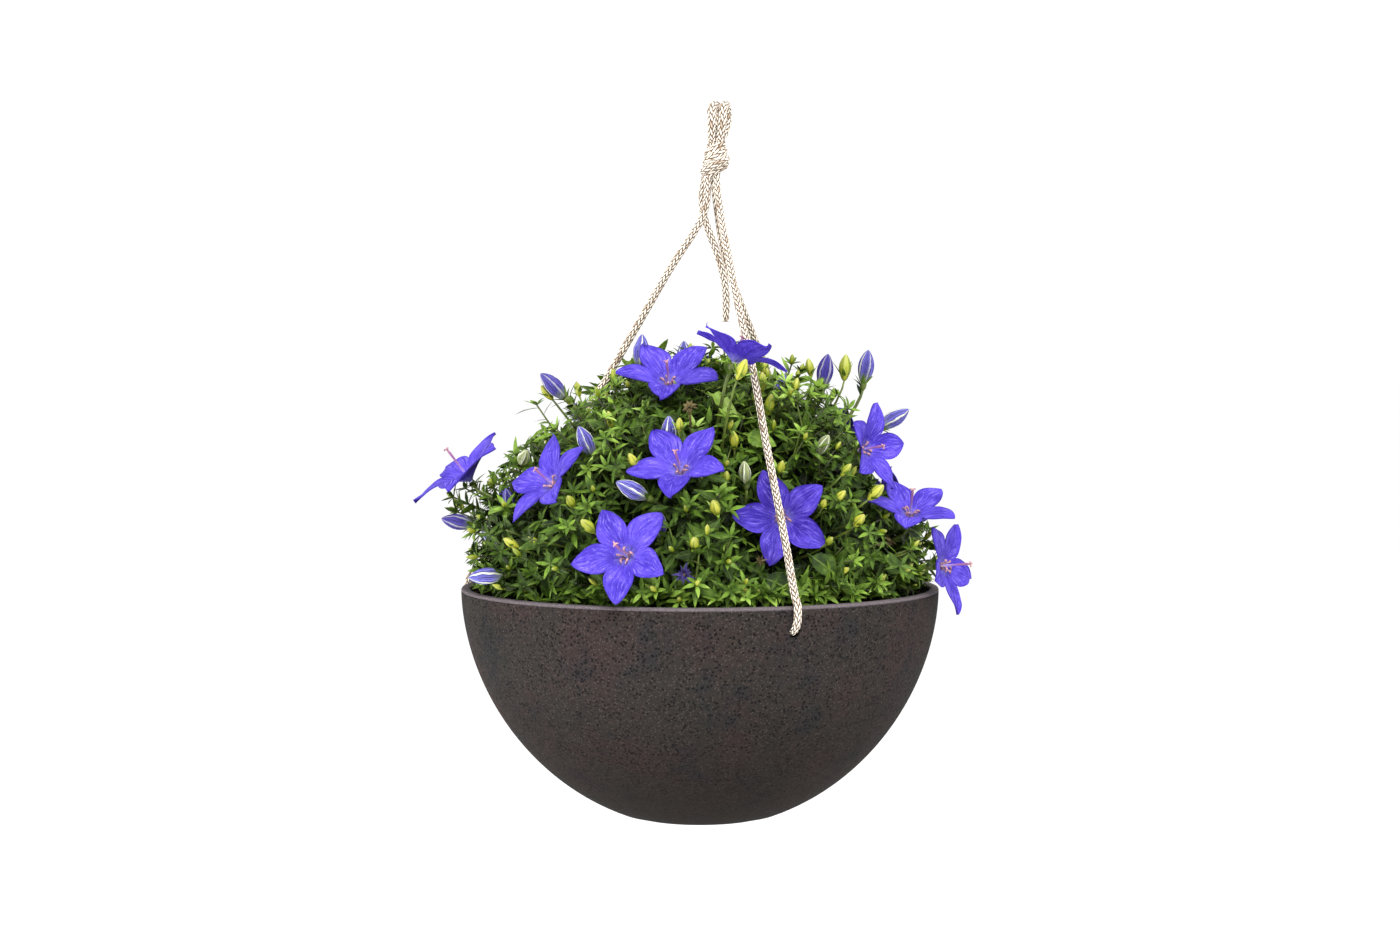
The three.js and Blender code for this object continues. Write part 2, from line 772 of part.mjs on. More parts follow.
// Star of pointed lobes, as the calyxes and the leaf tufts at the sprig tips are, on a three-sided
// stalk that runs back through the given [point, radius] places
function tuft(centre, n, { lobe, cup, crest, turn }, stalk) {
  const { u, v } = frameOf(n);
  const s = shell();
  const put = (from, radius, angle, lift) => {
    const a = (angle + turn) * RAD;
    const p = from
      .clone()
      .addScaledVector(u, radius * Math.cos(a))
      .addScaledVector(v, radius * Math.sin(a))
      .addScaledVector(n, lift);
    return addPoint(s, p);
  };
  const rim = [];
  for (let k = 0; k < PETALS; k += 1) {
    rim.push(put(centre, lobe, k * 72, cup));
    rim.push(put(centre, lobe * 0.33, k * 72 + 36, cup * 0.2));
  }
  const top = put(centre, 0, 0, crest);
  ringToRing(s, rim, [top]);
  const heading = n.clone().negate();
  const previous = centre.clone();
  const rings = stalk.map(([place, radius]) => {
    const next = new THREE.Vector3().subVectors(place, previous).normalize();
    const bend = new THREE.Quaternion().setFromUnitVectors(heading, next);
    u.applyQuaternion(bend);
    v.applyQuaternion(bend);
    heading.copy(next);
    previous.copy(place);
    return [0, 1, 2].map((k) => put(place, radius, 120 * k, 0));
  });
  const under = shell();
  [rim, ...rings].slice(0, -1).forEach((ring, i) => ringToRing(under, ring, rings[i]));
  const [a, b, c] = rings[rings.length - 1];
  under.tris.push([a, b, c]);
  s.tris.push(...under.tris.map(([p, q, r]) => [p, r, q]));
  return { solid: () => solidOfShell(s), points: s.points };
}

// Half outline of a toothed leaf: [share of length, share of half width]
const TOOTHED = [
  [0.14, 0.55],
  [0.3, 0.95],
  [0.4, 1],
  [0.46, 0.78],
  [0.62, 0.82],
  [0.68, 0.55],
  [0.82, 0.48],
];
const NARROW = [
  [0.42, 0.08],
  [0.58, 0.85],
  [0.68, 1],
  [0.74, 0.68],
  [0.88, 0.5],
];

// Thin blade, folded a little along its rib and arched along its length
function blade(base, along, face, length, halfWidth, outline, ribShares) {
  const side = new THREE.Vector3().crossVectors(face, along).normalize();
  const at = (t, w, lift) =>
    base
      .clone()
      .addScaledVector(along, t * length)
      .addScaledVector(side, w * halfWidth)
      .addScaledVector(face, lift + 0.16 * Math.abs(w) * halfWidth - 0.22 * length * t * t);
  const s = shell();
  const foot = addPoint(s, at(0, 0, 0));
  const tip = addPoint(s, at(1, 0, 0));
  const edges = [1, -1].map((sign) => outline.map(([t, w]) => [t, addPoint(s, at(t, sign * w, 0))]));
  for (const [order, thick] of [[1, 0.45], [-1, -0.45]]) {
    const rib = ribShares.map((t) => [t, addPoint(s, at(t, 0, thick))]);
    edges.forEach((edge, i) => {
      const flip = order * (i === 0 ? 1 : -1);
      const tri = (a, b, c) => s.tris.push(flip > 0 ? [a, b, c] : [a, c, b]);
      const outer = [[0, foot], ...edge, [1, tip]];
      const inner = [[0, foot], ...rib, [1, tip]];
      let [a, b] = [0, 0];
      while (a < outer.length - 1 || b < inner.length - 1) {
        const stepOuter =
          b === inner.length - 1 || (a < outer.length - 1 && outer[a + 1][0] < inner[b + 1][0]);
        if (stepOuter) {
          if (outer[a][1] !== inner[b][1]) tri(inner[b][1], outer[a + 1][1], outer[a][1]);
          else if (a === 0) tri(inner[1][1], outer[1][1], foot);
          a += 1;
        } else {
          if (b > 0) tri(inner[b][1], inner[b + 1][1], outer[a][1]);
          b += 1;
        }
      }
    });
  }
  return { solid: () => solidOfShell(s), points: s.points };
}

// Heart of the bush: its skin runs up into a leaf point at every other place, so that it is
// bristly all over, and the sprigs and leaves stand out of it
function heart() {
  const rows = [1, 9, 19, 30, 41, 52, 63, 76];
  const columns = 24;
  const s = shell();
  const floor = addPoint(s, new THREE.Vector3(0, 0, 1.5));
  const grid = rows.map((elevation, row) =>
    Array.from({ length: columns }, (_, column) => {
      const i = row * columns + column;
      const azimuth = ((column + (row % 2) / 2) * 360) / columns;
      const skirt = elevation < SKIRT;
      const valley = CORE_SHARE - 0.04 + (skirt ? SKIRT_FILL : 0) + 0.04 * noise(i, 3);
      const points = (skirt ? SKIRT_POINTS : POINTS).map((share) => share - 0.05 * noise(i, 9));
      const place = (share) => {
        const p = onDome(azimuth + 5 * (noise(i, 10) - 0.5), elevation, share);
        return row === 0 ? p.setZ(1.5) : p;
      };
      const raised = (row + column) % 2 ? points : [];
      const share = raised.find((r) => isFree(place(r + 0.05))) ?? valley;
      return addPoint(s, place(share));
    }),
  );
  const top = addPoint(s, onDome(0, 89.9, CORE_SHARE));
  const last = grid[rows.length - 1];
  for (let column = 0; column < columns; column += 1) {
    const next = (column + 1) % columns;
    s.tris.push([floor, grid[0][next], grid[0][column]], [top, last[column], last[next]]);
    for (let row = 0; row + 1 < rows.length; row += 1) {
      const [low, high] = [grid[row], grid[row + 1]];
      if (row % 2) {
        s.tris.push([low[column], high[next], high[column]]);
        s.tris.push([low[column], low[next], high[next]]);
      } else {
        s.tris.push([low[column], low[next], high[column]]);
        s.tris.push([low[next], high[next], high[column]]);
      }
    }
  }
  return solidOfShell(s);
}

// Where a stem that ends at a point leaves the heart
function rootOf(point) {
  return point.clone().multiplyScalar(0.5).setZ(Math.max(ROOT_HEIGHT, point.z * 0.5));
}

function sprigs() {
  const solids = [];
  for (let i = 0; i < SPRIGS + SKIRT_SPRIGS; i += 1) {
    const low = Math.sin(8 * RAD);
    const spread = Math.asin(low + (1 - low) * ((i + 0.5) / SPRIGS)) / RAD;
    const inSkirt = i >= SPRIGS;
    const elevation = inSkirt ? 2.5 + 5 * noise(i, 13) : spread;
    const azimuth = inSkirt ? ((i - SPRIGS) * 360) / SKIRT_SPRIGS : i * GOLDEN_ANGLE;
    const lean = new THREE.Vector3(noise(i, 1), noise(i, 2), noise(i, 4)).subScalar(0.5);
    for (const share of [0.99, 0.93, 0.86]) {
      const centre = onDome(azimuth, elevation, share - 0.1 * noise(i, 5));
      const n = direction(azimuth, elevation).addScaledVector(lean, 0.9).normalize();
      const shape = {
        lobe: STAR_LOBE * (0.85 + 0.3 * noise(i, 6)),
        cup: 2.6 * noise(i, 7),
        crest: 0.9,
        turn: 72 * noise(i, 8),
      };
      const root = rootOf(centre);
      const neck = centre.clone().addScaledVector(n, -1.4).lerp(root, 0.02);
      const sprig = tuft(centre, n, shape, [[neck, 0.8], [root, 1.3]]);
      const half = new THREE.Vector3().lerpVectors(root, centre, 0.75);
      if (sprig.points.slice(0, 11).every(isFree) && isFree(half)) {
        solids.push(sprig.solid());
        break;
      }
    }
  }
  return solids;
}

// Narrow leaves: the stalk is the slim first part of the blade
function smallLeaves() {
  const solids = [];
  for (let i = 0; i < LEAVES; i += 1) {
    const elevation = Math.asin(0.04 + 0.92 * ((i + 0.5) / LEAVES)) / RAD;
    const azimuth = i * GOLDEN_ANGLE + 61;
    const out = direction(azimuth, elevation);
    const { u, v } = frameOf(out);
    const swing = 360 * noise(i, 11) * RAD;
    const level = new THREE.Vector3()
      .addScaledVector(u, Math.cos(swing))
      .addScaledVector(v, Math.sin(swing));
    const along = out.clone().addScaledVector(level, 0.65).normalize();
    const face = level.clone().addScaledVector(out, -0.65).negate().normalize();
    const length = 38 + 10 * noise(i, 12);
    for (const share of [0.61, 0.57, 0.53]) {
      const base = onDome(azimuth, elevation, share);
      const leaf = blade(base, along, face, length, 5.2, NARROW, [0.5, 0.78]);
      if (leaf.points.slice(3).every((p) => p.length() < 60 || isFree(p))) {
        solids.push(leaf.solid());
        break;
      }
    }
  }
  return solids;
}

function broadLeaves() {
  const solids = [];
  BROAD_LEAVES.forEach(({ on: [azimuth, elevation], share, length, lift }, i) => {
    const base = onDome(azimuth, elevation, share * 0.92);
    const along = direction(azimuth + 50 * (noise(i, 21) - 0.5), lift);
    const { v } = frameOf(along);
    const leaf = blade(base, along, v, length, length * 0.32, TOOTHED, [0.3, 0.7]);
    if (leaf.points.every(isFree)) {
      const inside = base.clone().addScaledVector(along, length * 0.15);
      solids.push(leaf.solid(), stem(rootOf(base), inside, 1.2, 0.8, 3));
    }
  });
  return solids;
}

// Young buds, each on a stalk that tapers down into the bush
function greenBuds() {
  const solids = [];
  const { length, radius } = GREEN_BUD;
  const profile = [[0, -ROOT_DEPTH / length], ...GREEN_BUD_PROFILE];
  GREEN_BUDS.forEach(([azimuth, elevation], i) => {
    const foot = onDome(azimuth, elevation, 0.93);
    const steepest = Math.asin(Math.min(1, (foot.z - ROOT_HEIGHT) / ROOT_DEPTH)) / RAD;
    const face = [azimuth + 30 * (noise(i, 31) - 0.5), Math.min(85, elevation + 16, steepest)];
    const ends = [0.5, 1].map((t) => foot.clone().addScaledVector(direction(...face), t * length));
    if (ends.every(isFree) && isFree(foot)) {
      solids.push(budSpindle(foot, face, length, radius, profile));
    }
  });
  return solids;
}

// Stalk and calyx that carry a flower or a blue bud
function carriers() {
  const all = [
    ...BLOOMS.map((bloom) => ({ ...bloom, below: 0.6 + GAP })),
    ...BUDS.map((bud) => ({ ...bud, below: GAP })),
  ];
  return all.map(({ at, face, below }, i) => {
    const n = direction(...face);
    const behind = (h) => vector(at).addScaledVector(n, -h);
    const shape = { lobe: CALYX_LOBE, cup: 1.2, crest: CALYX_DEPTH, turn: 72 * noise(i, 41) };
    const bend = behind(12);
    const stalk = [
      [behind(below + CALYX_DEPTH + 2), STALK_RADIUS],
      [bend, STALK_RADIUS],
      [rootOf(bend), 1.5],
    ];
    return tuft(behind(below + CALYX_DEPTH), n, shape, stalk).solid();
  });
}

function foliage() {
  const stems = crownStems().map(({ foot, head }) => stem(foot, head, STEM_RADIUS, STEM_RADIUS, 6));
  return joined([
    heart(),
    ...stems,
    ...carriers(),
    ...sprigs(),
    ...smallLeaves(),
    ...broadLeaves(),
    ...greenBuds(),
  ]);
}

// Assembly

const potted = new THREE.Group();
potted.name = "potted_bellflower";
potted.position.copy(HANG_POINT).negate();

function addNode(name, solid, color, roughness) {
  const material = new THREE.MeshStandardMaterial({ color, roughness, metalness: 0 });
  const mesh = new THREE.Mesh(geometryOf(solid), material);
  mesh.name = name;
  potted.add(mesh);
}

addNode("pot", pot(), POT_BROWN, 0.75);
addNode("soil", soil(), SOIL_BROWN, 0.95);
addNode("foliage", foliage(), LEAF_GREEN, 0.6);
BLOOMS.forEach((bloom, i) => addNode(`bloom_${i + 1}`, bloomSolid(bloom), BLOOM_VIOLET, 0.6));
BUDS.forEach((bud, i) => addNode(`bud_${i + 1}`, blueBud(bud), BUD_BLUE, 0.6));
for (const [name, route] of Object.entries(ROPE_ROUTES)) {
  addNode(name, tube(route, ROPE_RADIUS, ROPE_SIDES), ROPE_BEIGE, 0.85);
}
addNode("top_knot", topKnot(), ROPE_BEIGE, 0.85);
for (const [name, azimuth] of Object.entries(HOLE_AZIMUTHS)) {
  addNode(`stopper_knot_${name}`, stopperKnot(azimuth), ROPE_BEIGE, 0.85);
}

const root = new THREE.Group();
root.add(potted);

export default root;
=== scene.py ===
"""Looks of a potted bellflower in a round hanging bowl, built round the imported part. Metres, +Z up.

Everything is laid out from the centre of the pot's rim, the front towards -Y, and is then moved to
the part's own origin, where the rope loop hangs on its hook.
"""

import math

import bmesh
import bpy
import numpy as np
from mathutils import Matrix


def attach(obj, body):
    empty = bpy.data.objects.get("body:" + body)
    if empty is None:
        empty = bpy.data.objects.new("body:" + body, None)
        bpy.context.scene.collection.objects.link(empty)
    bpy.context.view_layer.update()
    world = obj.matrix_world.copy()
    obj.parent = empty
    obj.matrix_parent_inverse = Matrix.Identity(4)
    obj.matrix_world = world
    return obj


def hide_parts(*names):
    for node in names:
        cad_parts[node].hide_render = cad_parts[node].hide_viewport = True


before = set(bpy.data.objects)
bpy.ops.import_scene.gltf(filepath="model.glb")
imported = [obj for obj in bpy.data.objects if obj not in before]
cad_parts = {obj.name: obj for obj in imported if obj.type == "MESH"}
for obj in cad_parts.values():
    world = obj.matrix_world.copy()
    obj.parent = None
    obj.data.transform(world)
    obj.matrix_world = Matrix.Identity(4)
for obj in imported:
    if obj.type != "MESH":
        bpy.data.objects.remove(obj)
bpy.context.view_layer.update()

MM = 0.001
RIM_CENTRE = np.array([-0.010, 0.0, -0.253])

# Pot
RIM_RADIUS = 0.127
BOWL_SEMI_DEPTH = 0.1286
BOWL_FULLNESS = 1.88
POT_HEIGHT = 0.1225
WALL = 0.005
FLOOR = 0.006
LIP_BAND = 0.0018
DRAIN_RADIUS = 0.006
HOLE_Z = -0.013
HOLE_RADIUS = 0.003
HOLE_AZIMUTHS = {"front": 21.5, "back_right": 142, "left": -104}

# Foliage dome, as in the part's source
DOME_RADIUS = 0.141
SHOULDER = 45
CROWN_DROP = 0.017
SKIRT = 15
SKIRT_IN = 0.023
LOPSIDE = 0.006
DENTS = [
    ((-78, 52), 24, 0.022),
    ((-95, 8), 11, 0.012),
    ((92, 31), 22, 0.029),
    ((92, 56), 20, 0.018),
    ((80, 68), 17, 0.010),
]
ROPE_TOP_Z = 0.231
GROOVE_WIDTH = 16
GROOVE_CLEARANCE = 0.007
GOLDEN_ANGLE = 137.508

# Rope
ROPE_RADIUS = 0.0020
LOOP_RADIUS = 0.0023
KNOT_X = 0.0082
KNOT_TOP = 0.2354
CARRIERS = 8
STITCH = 0.0034
ROPE_STEP = 0.5 * MM
FRAY_LENGTH = 0.006
THIN_SIDES = 20

# Turns of rope round the knot: half width and depth of the ring, its height, and its lean
WRAP_RADIUS = 0.0027
WRAP_RING = 0.0046
WRAP_DEPTH = 0.0048
WRAP_LOW = 0.2204
WRAP_HIGH = 0.2348
WRAP_TURNS = 3.9
WRAP_START = 200
WRAP_LEAN = 0.0019
WRAP_CARRIERS = 10
STOPPER_RING = 0.0030
STOPPER_TURNS = 2.2

# Flowers
PETALS = 5
STYLE_LENGTH = 0.016
BACK_CUP = 0.42
BACK_SHARE = 0.9
BUD_LENGTH = 0.018
BUD_RADIUS = 0.0043

# Camera: found from the pot's rim ellipse in the photograph
CAMERA_PLACE = (0.0, -1.410, 0.123)
CAMERA_TILT = 2.41
CAMERA_LENS = 68.1
FLOOR_Z = -0.65
FLOOR_REACH = 40
SKY_STRENGTH = 1.04
# Name, azimuth, elevation, distance, size and power
LAMPS = [
    ("key", 6, 36, 1.5, 0.8, 27),
    ("fill", 56, 62, 2.0, 1.2, 24),
    ("side", -80, -9, 1.8, 0.4, 34),
]

# Foliage: how many of each, and the seeds of what is spread by chance
SPRIGS = 330
SKIRT_SPRIGS = 80
FORKS = 4
LEAF_NODES = 15
INNER_LEAVES = 7200
FRINGE = 260
HIDDEN_BUDS = 44
CRUMBS = 900
FOLIAGE_SEED = 17
SOIL_SEED = 5
BLOOM_SEED = 100
BUD_SEED = 200
MERGE = 1e-6

# Open flowers: foot, (azimuth, elevation) that it faces, turn of the first petal, radius, depth
# of its bell as a share of the radius, length of its style
BLOOMS = [
    ((-0.016, -0.044, 0.1061), (-4, 59), 50, 0.0273, 0.45, 0.016),
    ((0.0166, -0.081, 0.119), (112, 64), 41, 0.0269, 0.36, 0.014),
    ((-0.1205, -0.016, 0.0563), (-72, 54), 37, 0.030, 0.4, 0.022),
    ((-0.0721, -0.082, 0.0566), (-56, 35), 44, 0.0268, 0.39, 0.016),
    ((-0.0089, -0.104, 0.0639), (-17, 48), 58, 0.027, 0.42, 0.016),
    ((-0.0353, -0.115, 0.0237), (-19, 21), 52, 0.0264, 0.4, 0.019),
    ((0.0429, -0.075, 0.0411), (-13, 3), 38, 0.0263, 0.37, 0.016),
    ((0.0813, -0.052, 0.0741), (53, 11), 72, 0.0235, 0.54, 0.015),
    ((0.1081, -0.046, 0.0385), (9, 63), 35, 0.0246, 0.4, 0.018),
    ((0.1242, -0.037, 0.0132), (63, 9), 50, 0.0259, 0.26, 0.018),
]
BACK_BLOOMS = [
    ((108, 47), 20, 0.026),
    ((119, 17), 50, 0.027),
    ((168, 22), 8, 0.027),
    ((180, 56), 33, 0.026),
    ((-154, 31), 60, 0.027),
    ((-128, 15), 25, 0.026),
]

# Striped buds: foot, (azimuth, elevation) that it points to, length, how dark it is: below 0
# for one that is still green
BUDS = [
    ((-0.070, -0.034, 0.101), (-80, 44), 0.018, 0.8),
    ((-0.031, -0.025, 0.116), (60, 87), 0.018, 0.3),
    ((0.064, -0.022, 0.106), (85, 80), 0.018, 1.0),
    ((0.087, 0.0, 0.108), (90, 82), 0.018, 0.6),
    ((0.095, -0.012, 0.085), (88, 32), 0.018, 0.3),
    ((-0.054, -0.079, 0.073), (-50, 58), 0.017, 0.3),
    ((-0.015, -0.086, 0.078), (-5, 68), 0.016, 0.3),
    ((-0.026, -0.108, 0.053), (-70, 26), 0.018, 0.2),
    ((-0.119, -0.024, 0.034), (-80, 12), 0.017, 0.9),
    ((-0.097, -0.052, 0.044), (-30, 65), 0.012, 0.9),
    ((-0.100, -0.066, 0.011), (-82, -3), 0.018, 0.0),
    ((-0.103, -0.047, 0.024), (-65, 40), 0.013, 0.4),
    ((-0.092, -0.050, 0.067), (20, 35), 0.013, -0.5),
    ((-0.0195, -0.109, 0.033), (0, 72), 0.014, 0.9),
    ((0.060, -0.067, 0.073), (35, 48), 0.013, -0.5),
    ((0.023, -0.086, 0.059), (-10, 60), 0.013, -0.5),
]
BACK_BUDS = [
    ((98, 66), 0.017, 0.5),
    ((122, 36), 0.018, 0.3),
    ((158, 44), 0.017, 0.8),
    ((178, 8), 0.016, 0.2),
    ((-168, 70), 0.018, 0.4),
    ((-135, 42), 0.018, 0.6),
]

# Young yellow-green buds, by azimuth and elevation on the dome
YOUNG_BUDS = [
    (96, 30), (150, 30), (178, 38), (-140, 55), (-165, 14), (-92, 42), (130, 68),
]

# Young buds on the front: the place (x, z) that each has in the middle plane as the camera sees
# it, and its length
SEEN_BUDS = [
    (0.033, 0.109, 0.010), (0.037, 0.097, 0.011), (0.018, 0.078, 0.010), (0.014, 0.058, 0.008),
    (0.043, 0.063, 0.009), (0.078, 0.062, 0.008), (0.075, 0.048, 0.008), (0.085, 0.035, 0.010),
    (0.066, 0.044, 0.007), (0.008, 0.042, 0.011), (-0.003, 0.023, 0.010), (0.109, 0.007, 0.009),
    (0.024, -0.003, 0.008), (0.077, 0.008, 0.007), (0.069, 0.024, 0.007), (0.051, 0.107, 0.008),
    (0.094, 0.050, 0.011), (-0.065, 0.105, 0.008), (-0.048, 0.089, 0.009), (-0.129, 0.044, 0.008),
    (-0.101, 0.023, 0.009), (-0.089, 0.024, 0.008), (-0.060, 0.032, 0.011), (-0.069, 0.045, 0.009),
    (-0.036, 0.067, 0.009), (-0.027, -0.002, 0.009), (-0.011, 0.086, 0.008), (-0.046, 0.112, 0.008),
]

# Young buds that stand clear of the bush: foot, (azimuth, elevation) that it points to, length
CLEAR_BUDS = [
    ((0.0185, -0.1080, 0.1115), (40, 56), 0.0115),
    ((0.0590, -0.0040, 0.1120), (-60, 78), 0.0095),
    ((0.0765, -0.0060, 0.1100), (60, 86), 0.0135),
    ((-0.0770, -0.0300, 0.1000), (-70, 50), 0.0095),
]

# Broad leaves seen in the photo: foot x, z and tip x, z in the middle plane, width, tint
SEEN_LEAVES = [
    (0.0040, 0.1035, 0.0220, 0.0912, 0.0095, 0.85),
    (0.0230, 0.0812, 0.0407, 0.0755, 0.0110, 0.60),
    (0.0316, 0.0051, 0.0582, -0.0054, 0.0120, 0.35),
    (0.0572, 0.0174, 0.0763, 0.0041, 0.0110, 0.40),
    (-0.0816, 0.0070, -0.0788, -0.0082, 0.0100, 0.35),
]
# Broad toothed leaves: (azimuth, elevation), share of the dome, length, lift, tint
BROAD_LEAVES = [
    ((-58, 22), 0.95, 0.020, 10, 0.7),
    ((-62, 42), 0.9, 0.024, 5, 0.5),
    ((60, 8), 0.9, 0.022, 0, 0.4),
    ((100, 12), 0.9, 0.024, 5, 0.4),
    ((150, 12), 0.9, 0.024, 0, 0.5),
    ((-170, 40), 0.9, 0.022, 20, 0.6),
    ((-142, 10), 0.9, 0.024, -5, 0.4),
    ((-80, 10), 0.88, 0.022, 0, 0.5),
]


# Directions and places


def direction(azimuth, elevation):
    """Unit vectors: azimuth 0 faces the front, 90 faces right. Takes numbers or arrays."""
    a, e = np.radians(azimuth), np.radians(elevation)
    return np.stack([np.sin(a) * np.cos(e), -np.cos(a) * np.cos(e), np.sin(e) + 0 * a], -1)


def unit(v):
    return v / np.maximum(1e-12, np.linalg.norm(v, axis=-1, keepdims=True))


def side_frames(n):
    """Two unit vectors square to each n: u is level and v points up."""
    u = np.cross(np.array([0.0, 0.0, 1.0]), n)
    steep = np.linalg.norm(u, axis=-1) < 1e-6
    u[steep] = (1, 0, 0)
    u = unit(u)
    return u, np.cross(n, u)


def dome_radius(azimuth, elevation):
    """How far out the foliage reaches; it keeps inside the straight run of each rope."""
    azimuth, elevation = np.asarray(azimuth, float), np.asarray(elevation, float)
    r = np.full(np.broadcast(azimuth, elevation).shape, DOME_RADIUS)
    r = r - CROWN_DROP * (np.maximum(0, elevation - SHOULDER) / SHOULDER) ** 2
    r = r - SKIRT_IN * np.maximum(0, SKIRT - elevation) / SKIRT
    r = r + LOPSIDE * np.sin(np.radians(azimuth)) * np.sin(2 * np.radians(elevation))
    e = np.radians(elevation)
    reach = RIM_RADIUS / (np.cos(e) + RIM_RADIUS / ROPE_TOP_Z * np.sin(e)) - GROOVE_CLEARANCE
    for hole in HOLE_AZIMUTHS.values():
        away = (azimuth - hole + 180) % 360 - 180
        r = r - np.exp(-((away / GROOVE_WIDTH) ** 2)) * np.maximum(0, r - reach)
    way = direction(azimuth, elevation)
    for centre, width, depth in DENTS:
        apart = np.degrees(np.arccos(np.clip(way @ direction(*centre), -1, 1)))
        r = r - depth * np.exp(-((apart / width) ** 2))
    return r


def on_dome(azimuth, elevation, share):
    reach = np.asarray(dome_radius(azimuth, elevation) * share)
    return direction(azimuth, elevation) * reach[..., None]


def corolla_height(distance, radius, cup):
    t = np.minimum(1.2, distance / radius)
    bell = cup * radius * (1 - (1 - np.minimum(1, t)) ** 2.1)
    return bell - 0.03 * radius * t**4


ALL_BLOOMS = BLOOMS + [
    (on_dome(a, e, BACK_SHARE), (a, e + 14), turn, radius, BACK_CUP, STYLE_LENGTH)
    for (a, e), turn, radius in BACK_BLOOMS
]
ALL_BUDS = BUDS + [
    (on_dome(a, e, BACK_SHARE), (a, min(86, e + 16)), length, dark)
    for (a, e), length, dark in BACK_BUDS
]


def turned(r, angle, z):
    """Points at the distance r and height z, at an angle from the front."""
    return np.stack(np.broadcast_arrays(r * np.sin(angle), -r * np.cos(angle), z), -1)


def ring_uv(rows, columns):
    around, up = np.meshgrid(np.arange(columns) / columns, np.linspace(0, 1, rows))
    return np.stack([around.ravel(), up.ravel()], -1)


def spokes(angles, u, v):
    return np.cos(angles)[:, None] * u + np.sin(angles)[:, None] * v


def raised(points, level):
    """The points, none of them lower than the level."""
    points[:, 2] = np.maximum(level, points[:, 2])
    return points


def faced(along, heading):
    """The heading, turned square to each way along."""
    return unit(heading - along * (heading * along).sum(-1, keepdims=True))


def kept(keep, *values):
    return [value[keep] for value in values]


# Pieces, and meshes gathered from many small forms


def in_scene(name, data):
    made = bpy.data.objects.new(name, data)
    bpy.context.scene.collection.objects.link(made)
    return made


def fit(piece, node):
    """Every piece rides on the one body and takes the place of a node."""
    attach(piece, "root")
    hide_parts(node)


class Patchwork:
    """Points, faces and per-point values of a mesh made of many small forms."""

    def __init__(self):
        self.points, self.faces, self.tints, self.uvs, self.slots = [], [], [], [], []
        self.count = 0

    def add(self, points, faces, uv, tint=0.5, slot=0):
        """points is (forms, n, 3); faces, uv (n, 2) and slot hold for each form alike."""
        forms, n, _ = points.shape
        for group in faces:
            group = np.asarray(group)
            starts = self.count + n * np.arange(forms)
            placed = group[None] + starts[:, None, None]
            self.faces += placed.reshape(-1, group.shape[1]).tolist()
            self.slots += [slot] * (forms * len(group))
        self.points.append(points.reshape(-1, 3))
        self.uvs.append(np.broadcast_to(uv, (forms, n, 2)).reshape(-1, 2))
        self.tints.append(np.broadcast_to(tint, (forms, n)).reshape(-1))
        self.count += forms * n

    def object(self, name, materials, merge=0.0):
        mesh = bpy.data.meshes.new(name)
        points = np.concatenate(self.points) + RIM_CENTRE
        mesh.from_pydata(points.tolist(), [], self.faces)
        for material in materials:
            mesh.materials.append(material)
        mesh.polygons.foreach_set("material_index", self.slots)
        mesh.polygons.foreach_set("use_smooth", [True] * len(self.faces))
        corner_points = np.empty(len(mesh.loops), dtype=np.int32)
        mesh.loops.foreach_get("vertex_index", corner_points)
        layer = mesh.uv_layers.new(name="UVMap")
        layer.data.foreach_set("uv", np.concatenate(self.uvs)[corner_points].ravel())
        tint = mesh.attributes.new("tint", "FLOAT", "POINT")
        tint.data.foreach_set("value", np.concatenate(self.tints).astype(np.float32))
        if merge:
            shape = bmesh.new()
            shape.from_mesh(mesh)
            bmesh.ops.remove_doubles(shape, verts=shape.verts, dist=merge)
            bmesh.ops.dissolve_degenerate(shape, edges=shape.edges, dist=merge)
            shape.to_mesh(mesh)
            shape.free()
        mesh.validate()
        mesh.update()
        return in_scene(name, mesh)


def grid_faces(rows, columns, closed=False):
    """Quads of a grid of points, row by row. A closed grid joins its last column to its first."""
    quads = []
    for row in range(rows - 1):
        for column in range(columns if closed else columns - 1):
            a = row * columns + column
            b = row * columns + (column + 1) % columns
            quads.append((a, b, b + columns, a + columns))
    return quads


def add_blades(work, base, along, face, length, half_width, outline, tint, slot=0,
               arch=0.22, fold=0.16, twist=0.0):
    """Leaf blades on three lines, edge, rib and edge, pointed at the tip and narrow at the foot."""
    side = unit(np.cross(face, along))
    face = np.cross(along, side)
    length, half_width, arch = (np.broadcast_to(x, len(base)) for x in (length, half_width, arch))
    t, w = np.array(outline).T
    columns = np.array([-1.0, 0.0, 1.0])
    tt, ww = np.repeat(t, 3), (w[:, None] * columns).ravel()
    roll = np.broadcast_to(twist, len(base))[:, None] * tt
    across = half_width[:, None] * ww
    lift = fold * np.abs(across) - arch[:, None] * length[:, None] * tt**2
    points = (
        base[:, None]
        + along[:, None] * (length[:, None] * tt)[..., None]
        + side[:, None] * (across * np.cos(roll))[..., None]
        + face[:, None] * (lift + across * np.sin(roll))[..., None]
    )
    uv = np.stack([np.tile((columns + 1) / 2, len(t)), tt], -1)
    tints = np.broadcast_to(tint, len(base))[:, None] + 0 * tt
    work.add(points, [grid_faces(len(t), 3)], uv, tints, slot)


